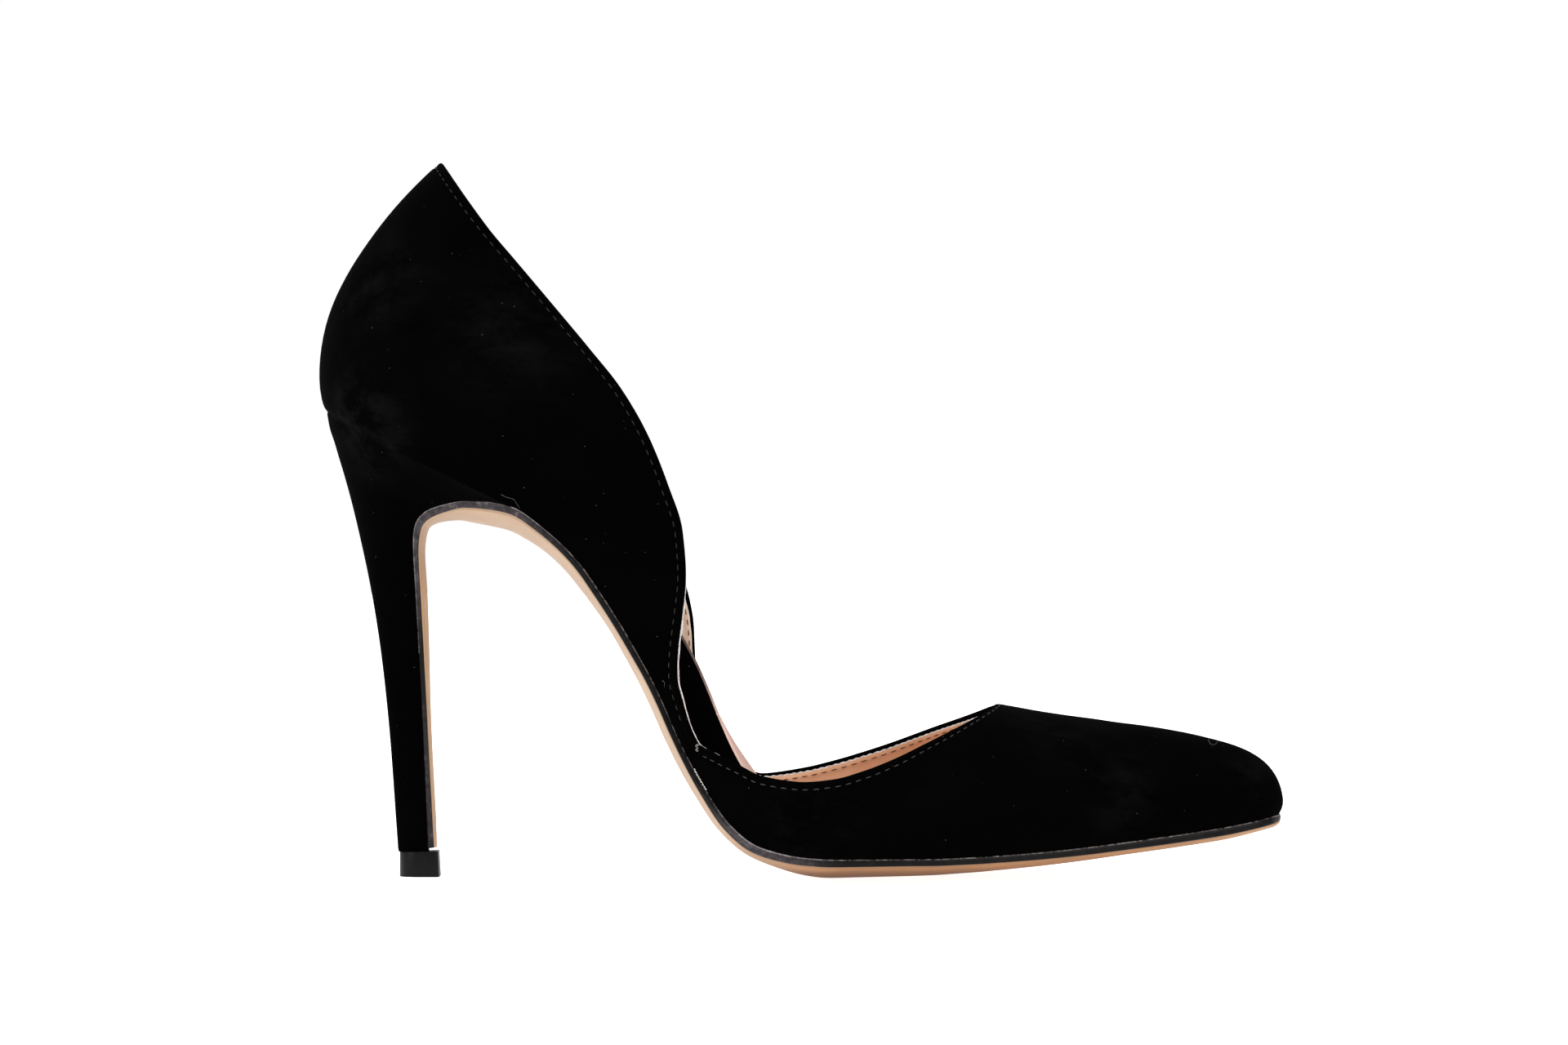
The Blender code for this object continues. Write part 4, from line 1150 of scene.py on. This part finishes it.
def edge_paint_finish(name, dark, light, wear_and_highlight_shades, size):
    """Edge paint over pared leather: half glossy, with the ripple of a brushed coat, grey with chafing and
    with a painted highlight in places.
    """
    material, shader, place = new_finish(name, {"IOR": 1.5, "Specular IOR Level": 0.12})
    ripple = add_node(material, "TexNoise", {"Scale": per_mm(size), "Detail": 5.0, "Roughness": 0.65},
                      {"Vector": place})
    colour = add_node(material, "ValToRGB", {}, {"Fac": ripple}, ((0.42, dark), (0.65, light)))
    wear_and_highlight_noise = add_node(material, "TexNoise", {"Scale": per_mm(1.6), "Detail": 6.0, "Roughness": 0.7},
                      {"Vector": place})
    grey = add_node(material, "ValToRGB", {}, {"Fac": wear_and_highlight_noise}, tuple(zip((0.4, 0.58, 0.72), wear_and_highlight_shades)))
    for spot in WEAR_AND_HIGHLIGHT_SPOTS:
        tone_shift = add_node(material, "Mix", {"data_type": "RGBA"},
                        {0: spot_strength(material, place, spot, WEAR_AND_HIGHLIGHT_CORE), 6: colour, 7: grey})
        colour = tone_shift.outputs[2]
    gloss = add_node(material, "MapRange", {"To Min": 0.22, "To Max": 0.42}, {"Value": ripple})
    coat = add_node(material, "Bump", {"Strength": 0.35, "Distance": 0.12 * MM}, {"Height": ripple})
    plug(material, shader, Base_Color=colour, Roughness=gloss, Normal=coat)
    return material


sole_rings, painted = outsole_rings()
points, faces = loft(sole_rings)
ring_length = len(sole_rings[0])
slots = []
for index, face in enumerate(faces):
    k = index % ring_length
    k = min(k, ring_length - 2 - k)
    x, _, z = points[face[0]]
    if k in RIM_PLACES and (x > RIM_X or z > RIM_Z):
        slots.append(2)
    elif k < painted:
        slots.append(1)
    else:
        slots.append(MARGIN_SLOTS[k - painted] if k < painted + len(MARGIN_SLOTS) else 0)
outsole = add_piece("leather_outsole", points, faces, [
    sole_leather_finish("tan_sole_leather", ARCH_TAN, BALL_TAN, FLAP_TAN),
    edge_paint_finish("black_edge_paint", "060505", "120f0f", ("2c272a", "423d40", "786e6b"), 2.2),
    # The rim's pale grey is a painted highlight, where light catches the rounded top of the paint.
    edge_paint_finish("painted_highlight_rim", "120f0f", "7a726e", ("5a5355", "8d8585", "c6bebb"), 1.3),
    sole_leather_finish("creased_sole_leather", ARCH_TAN, BALL_TAN, CREASED_TAN),
    sole_leather_finish("pared_sole_leather", ARCH_TAN, BALL_TAN, PARED_TAN),
    sole_leather_finish("darker_sole_margin", DARK_MARGIN_ARCH, DARK_MARGIN_BALL, PARED_TAN)], slots, sharp=50)
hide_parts("outsole")

# Heel: a slim moulded core covered in the suede of the upper, glued up under the seat. The cover is stretched
# round the back and turned in at the front, under the flap of the sole.
HEEL_TURNS = 30
HEEL_END = ((0.5, 0.0), (0.2, 0.1), (0.0, 0.3))  # rise and inset of the rings that soften its foot
HEEL_END_HALF = 4.0    # half-width there


def heel_rings():
    """Rings of the heel from the seat down; each runs from its outer front round the back."""
    turns = np.linspace(0, math.pi / 2, HEEL_TURNS)
    run, x, z, outer, inner = sole_line()
    edges = [inset_edge(run, y, FLAP_INSET) for y in (outer, inner)]
    rings = []
    for i, row in enumerate(heel_rows()):
        share = 1 - np.cos(turns)
        px = row.back_x + (row.front_x - row.back_x) * share
        pz = row.back_z + (row.front_z - row.back_z) * share
        fullness = row.swell * 4 * share * (1 - share)
        sides = []
        for k, reach in enumerate((-row.outer - HEEL_AXIS, row.inner - HEEL_AXIS)):
            y = HEEL_AXIS + reach * np.sin(turns) + np.copysign(fullness, reach)
            if i == 0:
                y = np.interp(np.interp(px, x, run), *edges[k])
                y[0] = HEEL_AXIS
                pz = np.interp(px, x, z) - SOLE_ROOM
            sides.append(np.column_stack((px, y, pz)))
        rings.append(np.vstack((sides[0][::-1], sides[1][1:])))
    end = rings.pop()
    for rise, inset in HEEL_END:
        rings.append(end + (end.mean(axis=0) - end) * inset / HEEL_END_HALF + (0.0, 0.0, rise))
    return rings


def ladder_ends(points, faces, count):
    """Replaces the two end faces of a loft by strips that join the halves of each end ring."""
    last = len(points) - count
    strips = faces[:-2]
    for start, order in ((0, -1), (last, 1)):
        for k in range(count // 2):
            corners = [start + k, start + k + 1, start + count - 2 - k, start + count - 1 - k]
            strips.append(list(dict.fromkeys(corners))[::order])
    return points, strips


heel_loops = heel_rings()
points, faces = loft(heel_loops)
points, faces = ladder_ends(points, faces, len(heel_loops[0]))
heel = add_piece("heel_cover", points, faces, [suede_finish("black_heel_suede", 1.45)], sharp=50)
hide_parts("heel")

# Top piece: the wear tip under the heel, moulded in charcoal polyurethane with a D shape, pinned on from
# below. Its mould edges are slightly rounded.
TIP_FRONT = -78.65
TIP_BACK = -87.6
TIP_HALF = 4.3
TIP_TOP = 5.4
TIP_SOFT = 0.16
TIP_SOFT_STEPS = 5
TIP_SHARPER = 3        # how much sharper its upper edge is than its lower one
TIP_CORNER = 0.9
TIP_TURNS = 33         # points round its back
TIP_SWELL = 0.4        # how far the foot of its front stands out
TIP_SWELL_Z = 1.3      # where it does so most
TIP_SWELL_HIGH = 3.5   # and how far up and down it dies away
TIP_RISE = 0.3         # how much higher its top is in front than behind


def tip_ring(z, inset):
    """A D-shaped ring at a height, moved in by an inset."""
    half_width = TIP_HALF - inset
    front = TIP_FRONT - inset - TIP_SWELL * min(1.0, abs(z - TIP_SWELL_Z) / TIP_SWELL_HIGH)
    middle = TIP_BACK + TIP_HALF
    ring = [(front - dx, dy - half_width) for dx, dy in corner(TIP_CORNER, CORNER_STEPS)]
    for turn in np.linspace(-math.pi / 2, math.pi / 2, TIP_TURNS):
        ring.append((middle - half_width * math.cos(turn), half_width * math.sin(turn)))
    ring += [(x, -y) for x, y in ring[CORNER_STEPS - 1::-1]]
    lift = TIP_RISE / (TIP_FRONT - TIP_BACK) * (z / TIP_TOP) ** 3
    return [(x, HEEL_AXIS + y, z + lift * (x - TIP_BACK)) for x, y in ring]


def polyurethane_finish(name, shine, smoothest, roughest):
    """Moulded polyurethane: dark grey, satin with a fine grain on its side, smooth on its upper face."""
    material, shader, place = new_finish(name, {"IOR": 1.5, "Specular IOR Level": shine})
    grain = add_node(material, "TexNoise", {"Scale": per_mm(0.5), "Detail": 4.0}, {"Vector": place})
    grey = add_node(material, "ValToRGB", {}, {"Fac": grain}, ((0.3, "060608"), (0.7, "0b0a0d")))
    satin = add_node(material, "MapRange", {"To Min": smoothest, "To Max": roughest}, {"Value": grain})
    raised = add_node(material, "Bump", {"Strength": 0.3, "Distance": 0.06 * MM}, {"Height": grain})
    plug(material, shader, Base_Color=grey, Roughness=satin, Normal=raised)
    return material


tip_levels = [(z, inset) for inset, z in corner(TIP_SOFT, TIP_SOFT_STEPS)[::-1]]
tip_loops = [tip_ring(z, inset) for z, inset in tip_levels]
tip_loops += [tip_ring(TIP_TOP - z / TIP_SHARPER, inset / TIP_SHARPER) for z, inset in tip_levels[::-1]]
points, faces = loft(tip_loops)
slots = [0] * (len(faces) - 1) + [1]
tip = add_piece("wear_tip", points, [face[::-1] for face in faces], [
    polyurethane_finish("charcoal_polyurethane", 0.14, 0.3, 0.42),
    polyurethane_finish("smooth_polyurethane", 0.6, 0.1, 0.2)], slots)
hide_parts("top_piece")

# Sock lining: a full-length sheet of pale pink sheepskin, pared thin and glued on the insole. Its edge is
# brown at the waist and pale towards the ball.
SOCK_INSET = 2.6
SOCK_ROOM = 0.03
SOCK_THICK = 0.52
SOCK_SOFT = 0.3
SOCK_EDGE = 7          # ring places that its edge takes up on either side
PALE_X = (-22.0, -16.0)  # x over which the edge turns pale


def sock_base(x):
    return insole_top(x) + SOCK_ROOM


def sock_top(x):
    return sock_base(x) + SOCK_THICK


def sock_edge_finish():
    """Edge of the sock leather: brown at the waist and faintly shiny, pale towards the ball."""
    material, shader, place = new_finish("brown_sock_leather_edge", {
        "Roughness": 0.5, "Specular IOR Level": 0.3})
    streak = add_node(material, "TexNoise", {"Scale": per_mm(1.5), "Detail": 4.0}, {"Vector": place})
    brown = add_node(material, "ValToRGB", {}, {"Fac": streak}, ((0.3, "4a3b36"), (0.7, "6b5750")))
    along = add_node(material, "SeparateXYZ", {}, {"Vector": place})
    forward = add_node(material, "MapRange", {"From Min": PALE_X[0] * MM, "From Max": PALE_X[1] * MM},
                       {"Value": along.outputs["X"]})
    fading = add_node(material, "Mix", {"data_type": "RGBA", 7: to_linear("d9b7aa")}, {0: forward, 6: brown})
    plug(material, shader, Base_Color=fading.outputs[2])
    return material


sock_loops = slab_rings(SOCK_INSET, sock_base, sock_top, SOCK_SOFT)
points, faces = loft(sock_loops)
ring_length = len(sock_loops[0])
slots = []
for index in range(len(faces)):
    k = index % ring_length
    slots.append(1 if k < SOCK_EDGE or k > ring_length - SOCK_EDGE else 0)
sock = add_piece("sock_leather", points, faces, [
    lining_finish("pale_sock_sheepskin", "cfa89a", "dcb9ac", "e6c8bd"), sock_edge_finish()], slots)
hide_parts("sock_lining")

# Studio: a lit white table under a wide soft light, a weaker light from either end, a white background and
# a level camera square to the outer side. Places here are in metres.
FLOOR_SIZE = 12.0
TABLE_GLOW = 0.42
TABLE_SEEN = 0.92      # how bright it looks, so that hardly a shadow is left
FILL = 0.5             # light from the background
LIT_PLACE = (0.0, 0.0, 0.06)
LIGHTS = (
    ("overhead_light", "SUN", (0.0, -0.35, 1.6), {"energy": 1.4, "angle": math.radians(60)}),
    ("toe_light", "AREA", (1.1, -1.1, 0.6), {"energy": 6.0, "size": 0.8}),
    ("heel_light", "AREA", (-1.2, -0.8, 0.7), {"energy": 12.0, "size": 0.7}),
)
CAMERA_PLACE = (-0.00374, -1.5, 0.07725)
CAMERA_LENS = 158.0    # in millimetres, as its sensor
CAMERA_SENSOR = 36.0


def floor_finish():
    """White acrylic lit from below, so even that it runs into the background."""
    material, shader, place = new_finish("lit_white_acrylic", {
        "Roughness": 0.9, "Specular IOR Level": 0.1, "Emission Color": (1.0, 1.0, 1.0, 1.0)})
    tooth = add_node(material, "TexNoise", {"Scale": per_mm(400.0), "Detail": 2.0}, {"Vector": place})
    white = add_node(material, "ValToRGB", {}, {"Fac": tooth}, ((0.3, "f0f0f0"), (0.7, "f6f6f6")))
    rays = add_node(material, "LightPath")
    glow = add_node(material, "MapRange", {"To Min": TABLE_GLOW, "To Max": TABLE_SEEN},
                    {"Value": rays.outputs["Is Camera Ray"]})
    plug(material, shader, Base_Color=white, Emission_Strength=glow)
    return material


floor_mesh = bpy.data.meshes.new("floor")
reach = FLOOR_SIZE / 2
floor_mesh.from_pydata([(-reach, -reach, 0), (reach, -reach, 0), (reach, reach, 0), (-reach, reach, 0)], [],
                       [(0, 1, 2, 3)])
floor_mesh.materials.append(floor_finish())
floor = add_object("floor", floor_mesh)

for name, kind, place, settings in LIGHTS:
    lamp = bpy.data.lights.new(name, kind)
    for key, value in settings.items():
        setattr(lamp, key, value)
    light = add_object(name, lamp)
    light.location = place
    light.rotation_euler = (Vector(LIT_PLACE) - Vector(place)).to_track_quat("-Z", "Y").to_euler()
    light.visible_camera = False

world = bpy.data.worlds.new("white_studio")
world.use_nodes = True
sky = world.node_tree.nodes["Background"]
sky.inputs["Color"].default_value = (1.0, 1.0, 1.0, 1.0)
rays = add_node(world, "LightPath")
level = add_node(world, "MapRange", {"To Min": FILL, "To Max": 1.0}, {"Value": rays.outputs["Is Camera Ray"]})
link(world, level, sky.inputs["Strength"])
bpy.context.scene.world = world
bpy.context.scene.view_settings.view_transform = "Standard"

camera_data = bpy.data.cameras.new("camera")
camera_data.sensor_width = CAMERA_SENSOR
camera_data.lens = CAMERA_LENS
camera = add_object("camera", camera_data)
camera.location = CAMERA_PLACE
camera.rotation_euler = (math.pi / 2, 0.0, 0.0)
bpy.context.scene.camera = camera
